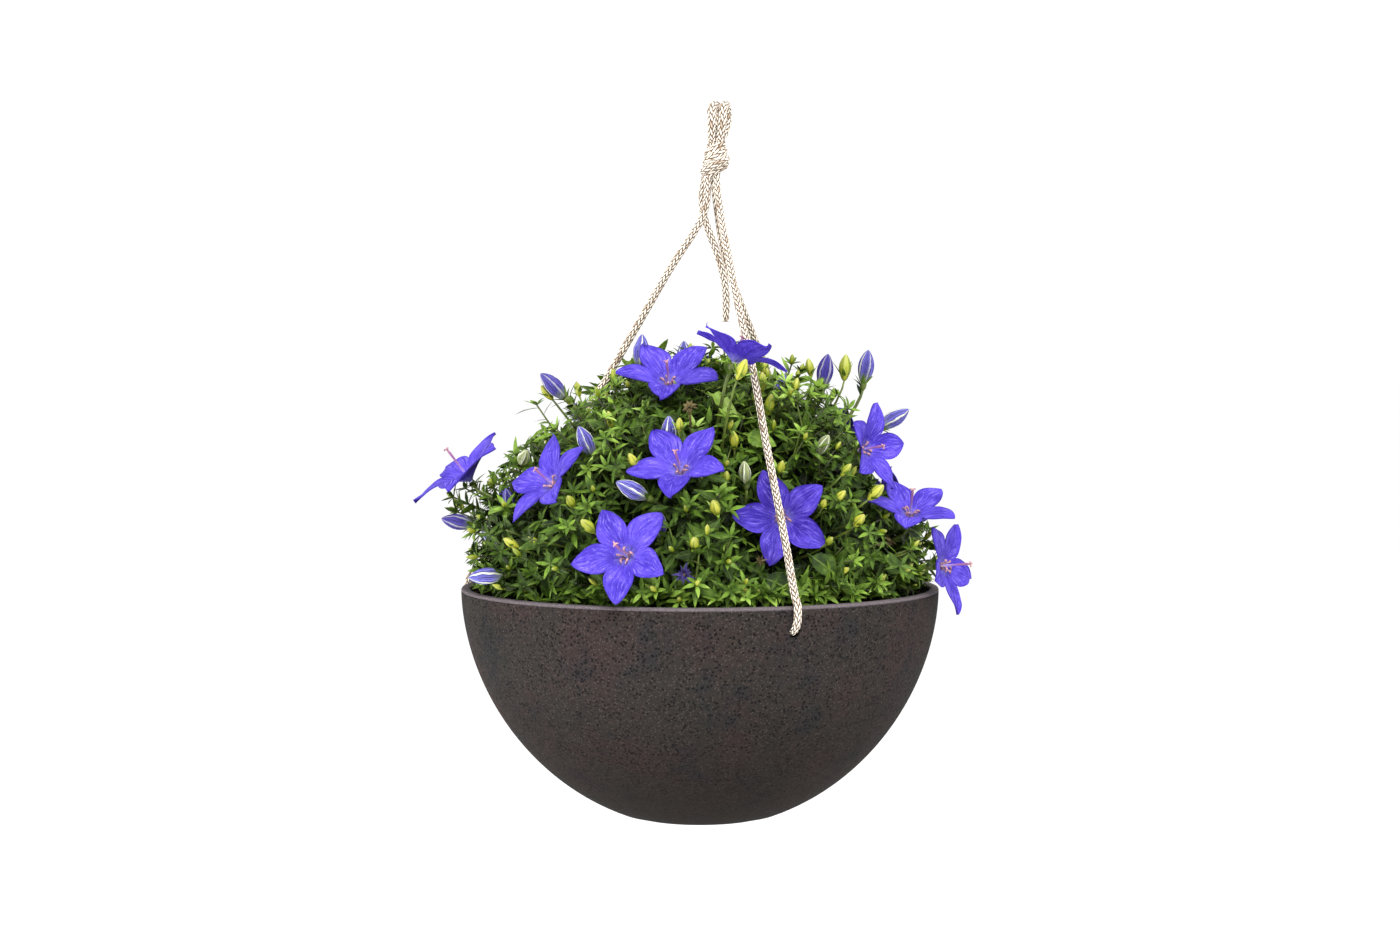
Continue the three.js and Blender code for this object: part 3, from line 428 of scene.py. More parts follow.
def add_stems(work, ways, radii, sides, tint, slot=0):
    """Round stems: ways is (stems, steps, 3) and radii (stems, steps)."""
    tangent = unit(np.gradient(ways, axis=1))
    middle = unit(ways[:, -1] - ways[:, 0])
    reference = np.where(np.abs(middle[:, 2:]) > 0.8, [[1.0, 0, 0]], [[0, 0, 1.0]])
    u = unit(np.cross(tangent, reference[:, None]))
    v = np.cross(tangent, u)
    angles = 2 * np.pi * np.arange(sides) / sides
    ring = u[:, :, None] * np.cos(angles)[:, None] + v[:, :, None] * np.sin(angles)[:, None]
    points = ways[:, :, None] + ring * radii[:, :, None, None]
    stems, steps = ways.shape[:2]
    last = (steps - 1) * sides
    faces = [grid_faces(steps, sides, closed=True), [[last + i for i in range(sides)]]]
    tints = np.broadcast_to(tint, stems)[:, None] + np.zeros(steps * sides)
    work.add(points.reshape(stems, -1, 3), faces, ring_uv(steps, sides), tints, slot)


def add_tapered(work, ways, thick, thin, sides, tint, slot=0):
    """Round stems that taper evenly from their foot. The radii are in millimetres."""
    radii = np.linspace(thick, thin, ways.shape[1])[None] * MM + 0 * ways[..., 0]
    add_stems(work, ways, radii, sides, tint, slot)


def bezier(start, bend, end, steps):
    t = np.linspace(0, 1, steps)[:, None]
    a, b, c = (p[:, None] for p in (start, bend, end))
    return a * (1 - t) ** 2 + 2 * b * t * (1 - t) + c * t**2


def add_spindles(work, base, axis, length, radius, profile, columns, ribs, tint, slot=0,
                 turn=0.0, twist=0.0):
    """Turned forms with five ribs. profile has (share of radius, share of length, rib depth)."""
    u, v = side_frames(axis)
    length, radius, turn = (np.broadcast_to(x, len(base)) for x in (length, radius, turn))
    r, z, depth = np.array(profile, float).T
    angle = 2 * np.pi * np.arange(columns) / columns
    crest = 0.5 + 0.5 * np.cos(ribs * angle)
    reach = r[:, None] * (1 - depth[:, None] * (1 - crest[None]) ** 2)
    spin = angle[None] + twist * z[:, None] + 0 * reach
    height = np.broadcast_to(z[:, None], reach.shape).ravel()
    reach = reach.ravel()
    spin = spin.ravel()[None] + turn[:, None]
    points = (
        base[:, None]
        + axis[:, None] * (length[:, None] * height)[..., None]
        + u[:, None] * (radius[:, None] * reach * np.cos(spin))[..., None]
        + v[:, None] * (radius[:, None] * reach * np.sin(spin))[..., None]
    )
    uv = np.stack([np.tile(angle / (2 * np.pi), len(z)), height], -1)
    tints = np.broadcast_to(tint, len(base))[:, None] + 0 * height
    work.add(points, [grid_faces(len(z), columns, closed=True)], uv, tints, slot)


# Materials


def srgb(r, g, b):
    """Linear colour of an 8-bit sRGB one."""
    c = np.array([r, g, b]) / 255
    linear = np.where(c <= 0.04045, c / 12.92, ((c + 0.055) / 1.055) ** 2.4)
    return (*linear.tolist(), 1.0)


class Value:
    """A number or colour inside a material. Sums and products of it are nodes too."""

    def __init__(self, look, socket):
        self.look, self.socket = look, socket

    def done(self, operation, other=0.0):
        return self.look.made("Math", {0: self, 1: other}, operation=operation)

    def __add__(self, other):
        return self.done("ADD", other)

    def __sub__(self, other):
        return self.done("SUBTRACT", other)

    def __mul__(self, other):
        return self.done("MULTIPLY", other)

    def flipped(self):
        return self.look.made("Math", {0: 1.0, 1: self}, operation="SUBTRACT")

    def mapped(self, low, high, to_low=0.0, to_high=1.0):
        names = ("Value", "From Min", "From Max", "To Min", "To Max")
        inputs = dict(zip(names, (self, low, high, to_low, to_high)))
        return self.look.made("MapRange", inputs, clamp=True)


class Look:
    """A procedural material: colours are painted one over the other, each through a mask."""

    def __init__(self, name, roughness, specular=0.5, sheen=0.0):
        self.material = bpy.data.materials.new(name)
        self.material.use_nodes = True
        self.tree = self.material.node_tree
        self.shader = self.tree.nodes["Principled BSDF"]
        self.shader.inputs["Roughness"].default_value = roughness
        self.shader.inputs["Specular IOR Level"].default_value = specular
        self.shader.inputs["Sheen Weight"].default_value = sheen
        self.normal = None

    def node(self, kind, inputs, **settings):
        made = self.tree.nodes.new("ShaderNode" + kind)
        for key, value in settings.items():
            setattr(made, key, value)
        for key, value in inputs.items():
            if isinstance(value, Value):
                self.tree.links.new(value.socket, made.inputs[key])
            else:
                made.inputs[key].default_value = value
        return made

    def made(self, kind, inputs, output=0, **settings):
        return Value(self, self.node(kind, inputs, **settings).outputs[output])

    def mix(self, factor, a, b):
        return self.made("Mix", {0: factor, 6: a, 7: b}, 2, data_type="RGBA")

    def ramp(self, factor, stops):
        made = self.node("ValToRGB", {0: factor})
        elements = made.color_ramp.elements
        while len(elements) < len(stops):
            elements.new(0.5)
        for element, (place, colour) in zip(elements, stops):
            element.position = place
            element.color = colour
        return Value(self, made.outputs[0])

    def place(self):
        return self.made("TexCoord", {}, "Object")

    def shifted(self, far):
        return self.made("Mapping", {0: self.place(), "Location": (far, far, far)})

    def noise(self, scale, detail=3.0, roughness=0.5, at=None):
        inputs = {"Scale": scale, "Detail": detail, "Roughness": roughness}
        inputs["Vector"] = at or self.place()
        return self.made("TexNoise", inputs)

    def cells(self, scale, at=None):
        return self.made("TexVoronoi", {"Scale": scale, "Vector": at or self.place()}, "Distance")

    def tint(self):
        return self.made("Attribute", {}, "Fac", attribute_name="tint")

    def parts(self, vector):
        return [Value(self, socket) for socket in self.node("SeparateXYZ", {0: vector}).outputs]

    def across_along(self):
        return self.parts(self.made("TexCoord", {}, "UV"))[:2]

    def paint(self, colour, mask=None):
        """Lay a colour over those before it, as far as the mask reaches."""
        self.base = self.mix(mask, self.base, colour) if mask else colour

    def bump(self, height, distance, strength=1.0):
        inputs = {"Height": height, "Distance": distance, "Strength": strength}
        if self.normal:
            inputs["Normal"] = self.normal
        self.normal = self.made("Bump", inputs)

    def finished(self):
        self.tree.links.new(self.base.socket, self.shader.inputs["Base Color"])
        if self.normal:
            self.tree.links.new(self.normal.socket, self.shader.inputs["Normal"])
        return self.material


def leaf_look():
    look = Look("leaf", 0.55, 0.16)
    across, along = look.across_along()
    from_rib = (across - 0.5).done("ABSOLUTE")
    x, _, height = look.parts(look.place())
    rim = RIM_CENTRE[2]
    tint = look.tint() + look.noise(260).mapped(0.3, 0.7, -0.12, 0.12)
    tint += along.mapped(0.0, 1.0, -0.05, 0.08)
    # Painted light: the tint is darker low by the rim and lighter towards the top, a band just over the rim
    # is painted lighter against the shadow there, and the right side is painted lighter than the left
    tint += height.mapped(rim, rim + 0.11, -0.12, 0.05)
    tint += height.mapped(rim, rim + 0.009, 0.15, -0.03)
    tint += x.mapped(-0.11, 0.09, -0.05, 0.05)
    stops = [
        (0.0, srgb(8, 15, 2)),
        (0.25, srgb(24, 41, 5)),
        (0.5, srgb(56, 81, 14)),
        (0.75, srgb(108, 138, 44)),
        (1.0, srgb(164, 190, 102)),
    ]
    look.paint(look.ramp(tint, stops))
    # Painted highlight: pale sheen patches laid over the green
    pale = look.ramp(tint, [(0.2, srgb(56, 77, 22)), (0.9, srgb(158, 182, 96))])
    look.paint(pale, look.noise(170, 3, 0.6, look.shifted(0.4)).mapped(0.52, 0.68, 0.0, 0.4))
    look.paint(srgb(110, 132, 58), from_rib.mapped(0.0, 0.07, 0.45, 0.0))
    vein = ((along * 9.0 + from_rib * -5.0) * math.pi).done("SINE").done("ABSOLUTE")
    look.bump(vein, 0.15 * MM, 0.5)
    look.bump(look.noise(1500, 2), 0.05 * MM, 0.6)
    return look.finished()


def stem_look():
    look = Look("stem", 0.5, 0.4)
    tint = look.tint() + look.noise(150).mapped(0.3, 0.7, -0.15, 0.15)
    stops = [
        (0.0, srgb(18, 24, 6)),
        (0.4, srgb(48, 56, 16)),
        (0.75, srgb(84, 100, 32)),
        (1.0, srgb(112, 124, 50)),
    ]
    look.paint(look.ramp(tint, stops))
    look.bump(look.noise(900, 2), 0.1 * MM, 0.5)
    return look.finished()


def petal_look(name, light, deep, vein, streak):
    """Violet petal: soft pale streaks and a few dark veins run along it."""
    look = Look(name, 0.62, 0.12)
    across, along = look.across_along()
    from_rib = (across - 0.5).done("ABSOLUTE")
    look.paint(look.mix(look.noise(95, 3, 0.6).mapped(0.38, 0.62), deep, light))
    look.paint(srgb(146, 142, 216), along.mapped(0.03, 0.24, 0.85, 0.0))
    fan = (across - 0.5) * along.mapped(0.0, 1.0, 24.0, 15.0)
    drift = look.noise(60, 1) * 9.0
    drawn = look.made("CombineXYZ", {0: fan + drift, 1: along * 3.2, 2: drift})
    wave = look.noise(1.0, 3, 0.6, drawn)
    look.paint(streak, wave.mapped(0.54, 0.7, 0.0, 0.75))
    look.paint(vein, wave.mapped(0.34, 0.46, 0.6, 0.0))
    look.paint(vein, from_rib.mapped(0.0, 0.04, 0.55, 0.0))
    look.paint(deep, from_rib.mapped(0.38, 0.5, 0.0, 0.6) * along.mapped(0.4, 0.6))
    look.paint(vein, look.noise(1300, 2, 0.6).mapped(0.38, 0.62, 0.0, 0.38))
    look.bump(wave, 0.5 * MM, 0.6)
    look.bump(look.noise(1300, 2), 0.1 * MM, 0.6)
    return look.finished()


def bud_look():
    """Closed flower: thin pale ridges with a dark fold on each side and veined panels between."""
    look = Look("striped_bud", 0.55, 0.2)
    across, along = look.across_along()
    wander = look.noise(240, 2).mapped(0.3, 0.7, -0.12, 0.12)
    turns = (across + wander * 0.12) * (2 * math.pi * PETALS)
    crest = turns.done("COSINE").mapped(-1.0, 1.0)
    dark = look.tint()
    cloudy = look.noise(420, 3, 0.6).mapped(0.36, 0.64, 0.0, 0.6)
    veined = (turns * 5.0).done("SINE").mapped(0.2, 1, 0.0, 0.5)
    green = dark.mapped(-0.5, 0.0, 0.85, 0.0)
    fold = crest.mapped(0.68, 0.76) * crest.mapped(0.87, 0.83)
    margin = crest.mapped(0.87, 0.94, 0.0, 0.9)
    look.paint(look.mix(dark, srgb(88, 86, 162), srgb(50, 40, 122)))
    look.paint(look.mix(dark, srgb(54, 46, 134), srgb(30, 22, 86)), cloudy)
    look.paint(look.mix(dark, srgb(146, 148, 202), srgb(84, 78, 152)), veined)
    look.paint(look.mix(cloudy, srgb(150, 158, 82), srgb(104, 118, 44)), green)
    look.paint(look.mix(dark, srgb(36, 30, 104), srgb(16, 12, 52)), fold)
    look.paint(look.mix(dark, srgb(200, 204, 176), srgb(128, 124, 146)), margin)
    look.paint(srgb(24, 18, 66), crest.mapped(0.0, 0.04, 0.8, 0.0))
    look.paint(srgb(118, 128, 86), along.mapped(0.0, 0.34, 0.85, 0.0))
    look.bump(look.noise(900, 2), 0.1 * MM, 0.6)
    return look.finished()


def young_bud_look():
    look = Look("young_bud", 0.45, 0.4)
    across, along = look.across_along()
    crest = (across * (2 * math.pi * PETALS)).done("COSINE").mapped(-1.0, 1.0)
    look.paint(look.mix(look.tint(), srgb(112, 126, 22), srgb(168, 168, 56)))
    look.paint(srgb(62, 84, 20), crest.mapped(0.7, 1.0, 0.0, 0.7))
    look.paint(srgb(150, 148, 84), along.mapped(0.75, 1.0, 0.0, 0.6))
    look.bump(look.noise(800, 2), 0.08 * MM, 0.5)
    return look.finished()


def plain_look(name, a, b, scale, roughness=0.6, relief=0.1):
    look = Look(name, roughness, 0.35)
    look.paint(look.mix(look.noise(scale).mapped(0.35, 0.65), a, b))
    look.bump(look.noise(scale * 3, 2), relief * MM, 0.6)
    return look.finished()


def style_look():
    look = Look("style", 0.5, 0.4)
    _, along = look.across_along()
    stops = [
        (0.0, srgb(178, 180, 214)),
        (0.3, srgb(138, 120, 188)),
        (0.6, srgb(132, 88, 140)),
        (1.0, srgb(130, 82, 108)),
    ]
    look.paint(look.ramp(along, stops))
    look.bump(look.noise(1200, 2), 0.05 * MM, 0.5)
    return look.finished()


def pot_look():
    """Resin with a stone look: warm and cool clouds, dark and pale grains, a plain lip, and painted shade
    towards the foot.
    """
    look = Look("stone_look_resin", 0.85, 0.06)
    warm = look.noise(26, 4, 0.65).mapped(0.42, 0.6)
    green = look.noise(31, 4, 0.6, look.shifted(0.3)).mapped(0.5, 0.62, 0.0, 0.5)
    grain = look.noise(1000, 2, 0.7).mapped(0.36, 0.64)
    pale = look.cells(700, look.shifted(0.11)).mapped(0.18, 0.34, 0.6, 0.0)
    cool = look.noise(40, 4, 0.7, look.shifted(0.7)).mapped(0.53, 0.64)
    few = look.noise(170, 2).mapped(0.36, 0.56, 0.15, 1.0).done("MAXIMUM", cool)
    specks = look.cells(560).mapped(0.26, 0.44, 1.0, 0.0) * few
    look.paint(look.mix(warm, srgb(42, 39, 37), srgb(50, 40, 38)))
    look.paint(srgb(41, 41, 35), green)
    look.paint(srgb(31, 28, 27), grain * 0.5)
    look.paint(srgb(78, 69, 66), pale)
    look.paint(srgb(30, 32, 36), cool * 0.45)
    look.paint(srgb(12, 11, 14), specks * 0.9)
    height = look.parts(look.place())[2]
    rim = RIM_CENTRE[2]
    # Painted shade: the lower wall darkens towards the foot
    look.paint(srgb(16, 11, 7), height.mapped(rim - POT_HEIGHT, rim - 0.04, 0.8, 0.0))
    lip = height.mapped(rim - LIP_BAND - 0.2 * MM, rim - LIP_BAND)
    look.paint(look.mix(grain, srgb(98, 90, 93), srgb(80, 74, 77)), lip)
    look.bump(specks.flipped(), 0.3 * MM, 0.7)
    look.bump(grain, 0.3 * MM, 0.6)
    look.bump(look.noise(120, 3), 0.5 * MM, 0.35)
    return look.finished()


def soil_look():
    look = Look("soil", 0.95, 0.15)
    look.paint(look.mix(look.noise(180, 4).mapped(0.35, 0.65), srgb(16, 12, 9), srgb(44, 34, 26)))
    look.bump(look.noise(600, 4, 0.7), 1.2 * MM, 0.9)
    return look.finished()


def rope_look():
    """Plaited cord: the stitches' own places come from the tube's UV map."""
    look = Look("braided_cord", 0.85, 0.25, 0.15)
    around, along = look.across_along()
    run = along.done("DIVIDE", STITCH)
    turn = around * float(CARRIERS)
    a, b = turn + run, turn - run
    cell_a, cell_b = a.done("FLOOR"), b.done("FLOOR")
    in_a, in_b = a.done("FRACT"), b.done("FRACT")
    order = (cell_a + cell_b).done("FLOORED_MODULO", 4.0)
    over = order.done("LESS_THAN", 2.0)
    under = over.flipped()

    def chosen(first, second):
        return first * over + second * under

    def arch(share):
        return (share * math.pi).done("SINE")

    across = arch(chosen(in_a, in_b))
    ends = arch(chosen(order + in_b, order - 2.0 + in_a) * 0.5)
    crown = across * ends.done("POWER", 0.4)
    strand = chosen(cell_a, cell_b) * 3.1 + over
    lot = look.made("TexWhiteNoise", {"W": strand}, noise_dimensions="1D")
    fibre = look.noise(1100, 3, 0.7).mapped(0.3, 0.7)
    brown = look.mix(fibre, srgb(90, 70, 50), srgb(150, 124, 96))
    look.paint(look.mix(fibre, srgb(210, 197, 180), srgb(250, 240, 226)))
    look.paint(brown, lot.mapped(0.8, 0.84, 0.0, 0.7))
    # Painted shade: the gaps between the stitches are darkened
    look.paint(srgb(84, 66, 48), crown.mapped(0.34, 0.78, 1.0, 0.0))
    look.bump(crown, 0.4 * MM, 0.9)
    look.bump(look.noise(2600, 2), 0.12 * MM, 0.6)
    return look.finished()


LEAF = leaf_look()
STEM = stem_look()
YOUNG = young_bud_look()
PETAL_IN = petal_look("petal", srgb(84, 66, 184), srgb(58, 41, 150), srgb(36, 21, 120),
                      srgb(130, 116, 216))
PETAL_OUT = petal_look("petal_back", srgb(76, 58, 180), srgb(54, 36, 148), srgb(34, 20, 108),
                       srgb(98, 82, 194))
STYLE = style_look()
STAMEN = plain_look("stamen", srgb(122, 78, 100), srgb(184, 140, 140), 900, 0.7, 0.3)
BUD = bud_look()
POT = pot_look()
SOIL = soil_look()
ROPE = rope_look()
WITHERED = plain_look("withered", srgb(66, 52, 30), srgb(112, 100, 62), 500, 0.8, 0.3)
FADED_VIOLET = plain_look("faded_violet", srgb(38, 28, 84), srgb(72, 60, 126), 500, 0.7, 0.2)
# Painted shade: near-black green for the shell that stands for the shade deep in the bush
SHADE_SHELL = plain_look("painted_shade_shell", srgb(7, 12, 3), srgb(20, 32, 8), 160, 0.8, 2.0)


# Camera, light and floor


def make_camera():
    data = bpy.data.cameras.new("camera")
    data.lens = CAMERA_LENS
    data.sensor_width = 36
    camera = in_scene("camera", data)
    camera.location = np.array(CAMERA_PLACE) + RIM_CENTRE
    camera.rotation_euler = (math.radians(90 - CAMERA_TILT), 0, 0)
    bpy.context.scene.camera = camera


def make_lamp(name, azimuth, elevation, distance, size, power):
    data = bpy.data.lights.new(name, "AREA")
    data.size = size
    data.energy = power
    lamp = in_scene(name, data)
    way = direction(azimuth, elevation)
    lamp.location = way * distance + RIM_CENTRE
    lamp.rotation_euler = (0, math.acos(way[2]), math.atan2(way[1], way[0]))


def make_stage():
    world = bpy.data.worlds.new("studio")
    world.use_nodes = True
    sky = world.node_tree.nodes["Background"]
    sky.inputs["Color"].default_value = (1, 1, 1, 1)
    sky.inputs["Strength"].default_value = SKY_STRENGTH
    bpy.context.scene.world = world
    bpy.context.scene.view_settings.view_transform = "Standard"
    for lamp in LAMPS:
        make_lamp(*lamp)
    mesh = bpy.data.meshes.new("floor")
    reach, z = FLOOR_REACH, FLOOR_Z
    corners = [(-reach, -reach, z), (reach, -reach, z), (reach, reach, z), (-reach, reach, z)]
    mesh.from_pydata(corners, [], [(0, 1, 2, 3)])
    look = Look("pale_floor", 0.9, 0.2)
    look.paint(look.mix(look.noise(3), srgb(250, 250, 250), srgb(253, 253, 253)))
    mesh.materials.append(look.finished())
    in_scene("floor", mesh)


make_camera()
make_stage()


# Ropes


def over_rim(azimuth):
    """From above the rim, over its outer edge and through the hole in the wall."""
    run = [
        (0.1266, 0.0054),
        (0.1300, 0.0005),
        (0.1303, -0.004),
        (0.1296, -0.0076),
        (0.1272, -0.0108),
        (0.1235, -0.0127),
        (0.1194, HOLE_Z),
    ]
    level = direction(azimuth, 0)
    return [(level[0] * r, level[1] * r, z) for r, z in run]


def bight_route(foot, front, behind):
    """Narrow loop above the knot: its leg behind shows between the two legs in front."""
    return [
        (foot, -0.0024, KNOT_TOP + 0.6 * MM),
        (foot, -0.0028, 0.238),
        (foot + 0.4 * front, -0.0046, 0.2412),
        (foot + 0.8 * front, -0.006, 0.247),
        (foot + front, -0.0047, 0.2526),
        (foot + (front + behind) / 2, 0.0, 0.2554),
        (foot + behind, 0.0047, 0.2526),
        (foot + behind, 0.006, 0.247),
        (foot + 0.6 * behind, 0.0046, 0.2412),
        (foot + 0.1 * behind, 0.0028, 0.238),
        (foot, 0.0024, KNOT_TOP + 0.6 * MM),
    ]


ROPE_ROUTES = {
    "strand_front": [
        (0.0087, -0.0026, 0.2173),
        (0.0090, -0.0036, 0.211),
        (0.0101, -0.0066, 0.2035),
        (0.0117, -0.012, 0.1915),
        (0.0139, -0.0185, 0.1802),
        (0.0182, -0.033, 0.1562),
        (0.0268, -0.056, 0.1164),
        (0.033, -0.076, 0.0802),
        (0.042, -0.103, 0.0316),
        *over_rim(HOLE_AZIMUTHS["front"]),
    ],
    "strand_back_right": [
        (0.0076, 0.0026, 0.2173),
        (0.0083, 0.003, 0.209),
        (0.0096, 0.005, 0.198),
        (0.0116, 0.0095, 0.1845),
        (0.0156, 0.017, 0.1685),
        (0.0255, 0.031, 0.142),
        (0.0365, 0.046, 0.115),
        (0.057, 0.0735, 0.0605),
        *over_rim(HOLE_AZIMUTHS["back_right"]),
    ],
    "strand_left": [
        (0.0039, -0.0022, 0.2173),
        (0.0039, -0.0023, 0.21),
        (0.0034, -0.0022, 0.2035),
        (0.0015, -0.002, 0.1965),
        (-0.003, -0.001, 0.1885),
        (-0.0158, 0.003, 0.169),
        (-0.0302, 0.008, 0.1444),
        (-0.062, 0.0155, 0.0907),
        (-0.091, 0.022, 0.046),
        (-0.1156, 0.0285, 0.0115),
        *over_rim(HOLE_AZIMUTHS["left"]),
    ],
    "tail": [
        (0.0026, 0.0027, 0.2173),
        (0.0014, 0.0032, 0.21),
        (0.0012, 0.0036, 0.203),
        (0.0024, 0.0038, 0.196),
        (0.0056, 0.0032, 0.1865),
        (0.0099, 0.001, 0.1747),
        (0.0129, -0.0006, 0.163),
        (0.0139, -0.001, 0.152),
        (0.0136, -0.001, 0.1407),
    ],
    "loop_bight_left": bight_route(0.0062, 0.0, 0.0041),
    "loop_bight_right": bight_route(0.0106, 0.0015, 0.0040),
}


def smooth_way(points, step):
    """Centripetal Catmull-Rom curve through the points, in even steps."""
    p = np.array(points, float)
    p = np.vstack([2 * p[0] - p[1], p, 2 * p[-1] - p[-2]])
    fine = []
    for k in range(1, len(p) - 2):
        knots = np.cumsum([0, *np.linalg.norm(np.diff(p[k - 1 : k + 3], axis=0), axis=1) ** 0.5])
        t = np.linspace(knots[1], knots[2], 24, endpoint=False)[:, None]
        line = [
            p[k - 1 + i] + (p[k + i] - p[k - 1 + i]) * (t - knots[i]) / (knots[i + 1] - knots[i])
            for i in range(3)
        ]
        pair = [
            line[i] + (line[i + 1] - line[i]) * (t - knots[i]) / (knots[i + 2] - knots[i])
            for i in range(2)
        ]
        fine.append(pair[0] + (pair[1] - pair[0]) * (t - knots[1]) / (knots[2] - knots[1]))
    fine = np.vstack([*fine, p[-2]])
    far = np.cumsum([0, *np.linalg.norm(np.diff(fine, axis=0), axis=1)])
    even = np.linspace(0, far[-1], max(4, int(far[-1] / step) + 1))
    return np.stack([np.interp(even, far, fine[:, k]) for k in range(3)], -1), far[-1]


def stitch_relief(turns, run):
    """Height of the plait, from 0 in its gaps to 1 on its crowns."""
    a, b = turns + run, turns - run
    order = (np.floor(a) + np.floor(b)) % 4
    over = order < 2
    in_a, in_b = a - np.floor(a), b - np.floor(b)
    across = np.where(over, in_a, in_b)
    along = np.where(over, order + in_b, order - 2 + in_a) / 2
    return np.sin(np.pi * across) * np.sin(np.pi * along) ** 0.4


def add_rope(work, points, radius=ROPE_RADIUS, sides=32, carriers=CARRIERS, frayed=False):
    """Plaited tube along a smooth way. Its middle radius is the rope's own."""
    way, length = smooth_way(points, ROPE_STEP)
    tangent = unit(np.gradient(way, axis=0))
    u = unit(np.cross(tangent[0], [0.3, 0.2, 0.9]))
    sides_u = [u]
    for t in tangent[1:]:
        u = unit(u - t * np.dot(u, t))
        sides_u.append(u)
    u = np.array(sides_u)
    v = np.cross(tangent, u)
    share = np.arange(sides + 1) / sides
    far = np.linspace(0, length, len(way))
    relief = stitch_relief(carriers * share[None, :-1], far[:, None] / STITCH)
    reach = radius * (0.85 + 0.17 * relief)
    if frayed:
        end = np.clip((far - (length - FRAY_LENGTH)) / FRAY_LENGTH, 0, 1)[:, None]
        reach = reach * (1 - 0.3 * end + 0.22 * end * np.sin(9 * 2 * np.pi * share[None, :-1]))
    reach = np.concatenate([reach, reach[:, :1]], 1)
    spin = 2 * np.pi * share
    points = way[:, None] + reach[..., None] * (
        u[:, None] * np.cos(spin)[:, None] + v[:, None] * np.sin(spin)[:, None]
    )
    around = share[None] * carriers / CARRIERS
    uv = np.stack(np.broadcast_arrays(around, far[:, None]), -1).reshape(-1, 2)
    quads = grid_faces(len(way), sides + 1)
    work.add(points.reshape(1, -1, 3), [quads], uv)
    ends = points[[0, -1], :-1]
    caps = np.concatenate([ends, way[[0, -1], None] + 0 * ends[:, :1]], 1)
    fans = [(i, (i + 1) % sides, sides) for i in range(sides)]
    cap_uv = np.stack([np.append(share[:-1], 0.5), np.zeros(sides + 1)], -1)
    work.add(caps[:1], [[(b, a, c) for a, b, c in fans]], cap_uv)
    work.add(caps[1:], [fans], cap_uv)
    return way, length


def wrap_points():
    """A rope wound round the strands, narrower at the top: it rises to the right in front."""
    share = np.linspace(0, 1, int(WRAP_TURNS * 12) + 1)
    angle = np.radians(WRAP_START) + 2 * np.pi * WRAP_TURNS * share
    narrow = np.interp(share, [0, 0.5, 1], [1.0, 0.95, 0.55])
    x = KNOT_X + WRAP_RING * narrow * np.cos(angle)
    y = WRAP_DEPTH * narrow * np.sin(angle)
    z = WRAP_LOW + (WRAP_HIGH - WRAP_LOW) * share + WRAP_LEAN * np.cos(angle)
    return np.stack([x, y, z], -1)


def make_top_knot():
    """Wrapped knot under the loop, with the gathered strands inside it."""
    work = Patchwork()
    joins = [
        ("strand_front", "loop_bight_right", 0),
        ("strand_back_right", "loop_bight_right", -1),
        ("strand_left", "loop_bight_left", 0),
        ("tail", "loop_bight_left", -1),
    ]
    for below, above, end in joins:
        low, high = np.array(ROPE_ROUTES[below][0]), np.array(ROPE_ROUTES[above][end])
        add_rope(work, [low, (low + high) / 2, high], 0.0019, THIN_SIDES)
    filler = [(KNOT_X + 0.0003, 0, z) for z in (0.231, 0.236, 0.2415)]
    add_rope(work, filler, 0.0016, THIN_SIDES)
    add_rope(work, wrap_points(), WRAP_RADIUS, carriers=WRAP_CARRIERS)
    over = [
        (0.0030, 0.0035, 0.2206),
        (0.0024, -0.0030, 0.2206),
        (0.0058, -0.0074, 0.2222),
        (0.0104, -0.0074, 0.2247),
        (0.0134, -0.0034, 0.2266),
        (0.0128, 0.0030, 0.2276),
    ]
    add_rope(work, over, 0.0024, carriers=WRAP_CARRIERS)
    return work.object("knot_wraps", [ROPE], MERGE)


def make_stopper(name, azimuth):
    """Overhand knot on the inside of the pot's wall."""
    out, level = direction(azimuth, 0), direction(azimuth + 90, 0)
    up = np.array([0, 0, 1.0])
    share = np.linspace(0, 1, 26)
    angle = 2 * np.pi * STOPPER_TURNS * share
    points = (
        out * (0.1165 - 0.0075 * share)[:, None]
        + level * (STOPPER_RING * np.cos(angle))[:, None]
        + up * (HOLE_Z + STOPPER_RING * np.sin(angle))[:, None]
    )
    work = Patchwork()
    add_rope(work, points, ROPE_RADIUS, THIN_SIDES)
    core = [out * r + up * HOLE_Z for r in (0.1192, 0.114, 0.1075)]
    add_rope(work, core, 0.0021, THIN_SIDES)
    return work.object(name, [ROPE], MERGE)


def make_ropes():
    knot = make_top_knot()
    fit(knot, "top_knot")
    for name, route in ROPE_ROUTES.items():
        work = Patchwork()
        radius = LOOP_RADIUS if name.startswith("loop") else ROPE_RADIUS
        way, length = add_rope(work, route, radius, frayed=name == "tail")
        rope = work.object("cord_" + name, [ROPE], MERGE)
        fit(rope, name)
        if name.startswith("strand"):
            hole = name.removeprefix("strand_")
            stopper = make_stopper("stopper_" + hole, HOLE_AZIMUTHS[hole])
            fit(stopper, "stopper_knot_" + hole)
            pieces = [stopper, knot] if name == "strand_front" else [stopper]
        else:
            far_end = "bare" if name == "tail" else "object"
            lay = "hanging" if name == "tail" else "taut"


make_ropes()


# Pot and soil


def bowl_radius(z, inset):
    share = np.abs(z) / (BOWL_SEMI_DEPTH - inset)
    return (RIM_RADIUS - inset) * np.sqrt(1 - share**BOWL_FULLNESS)


def bowl_run(from_z, to_z, inset, steps):
    z = np.linspace(from_z, to_z, steps)
    return list(zip(bowl_radius(z, inset), z))


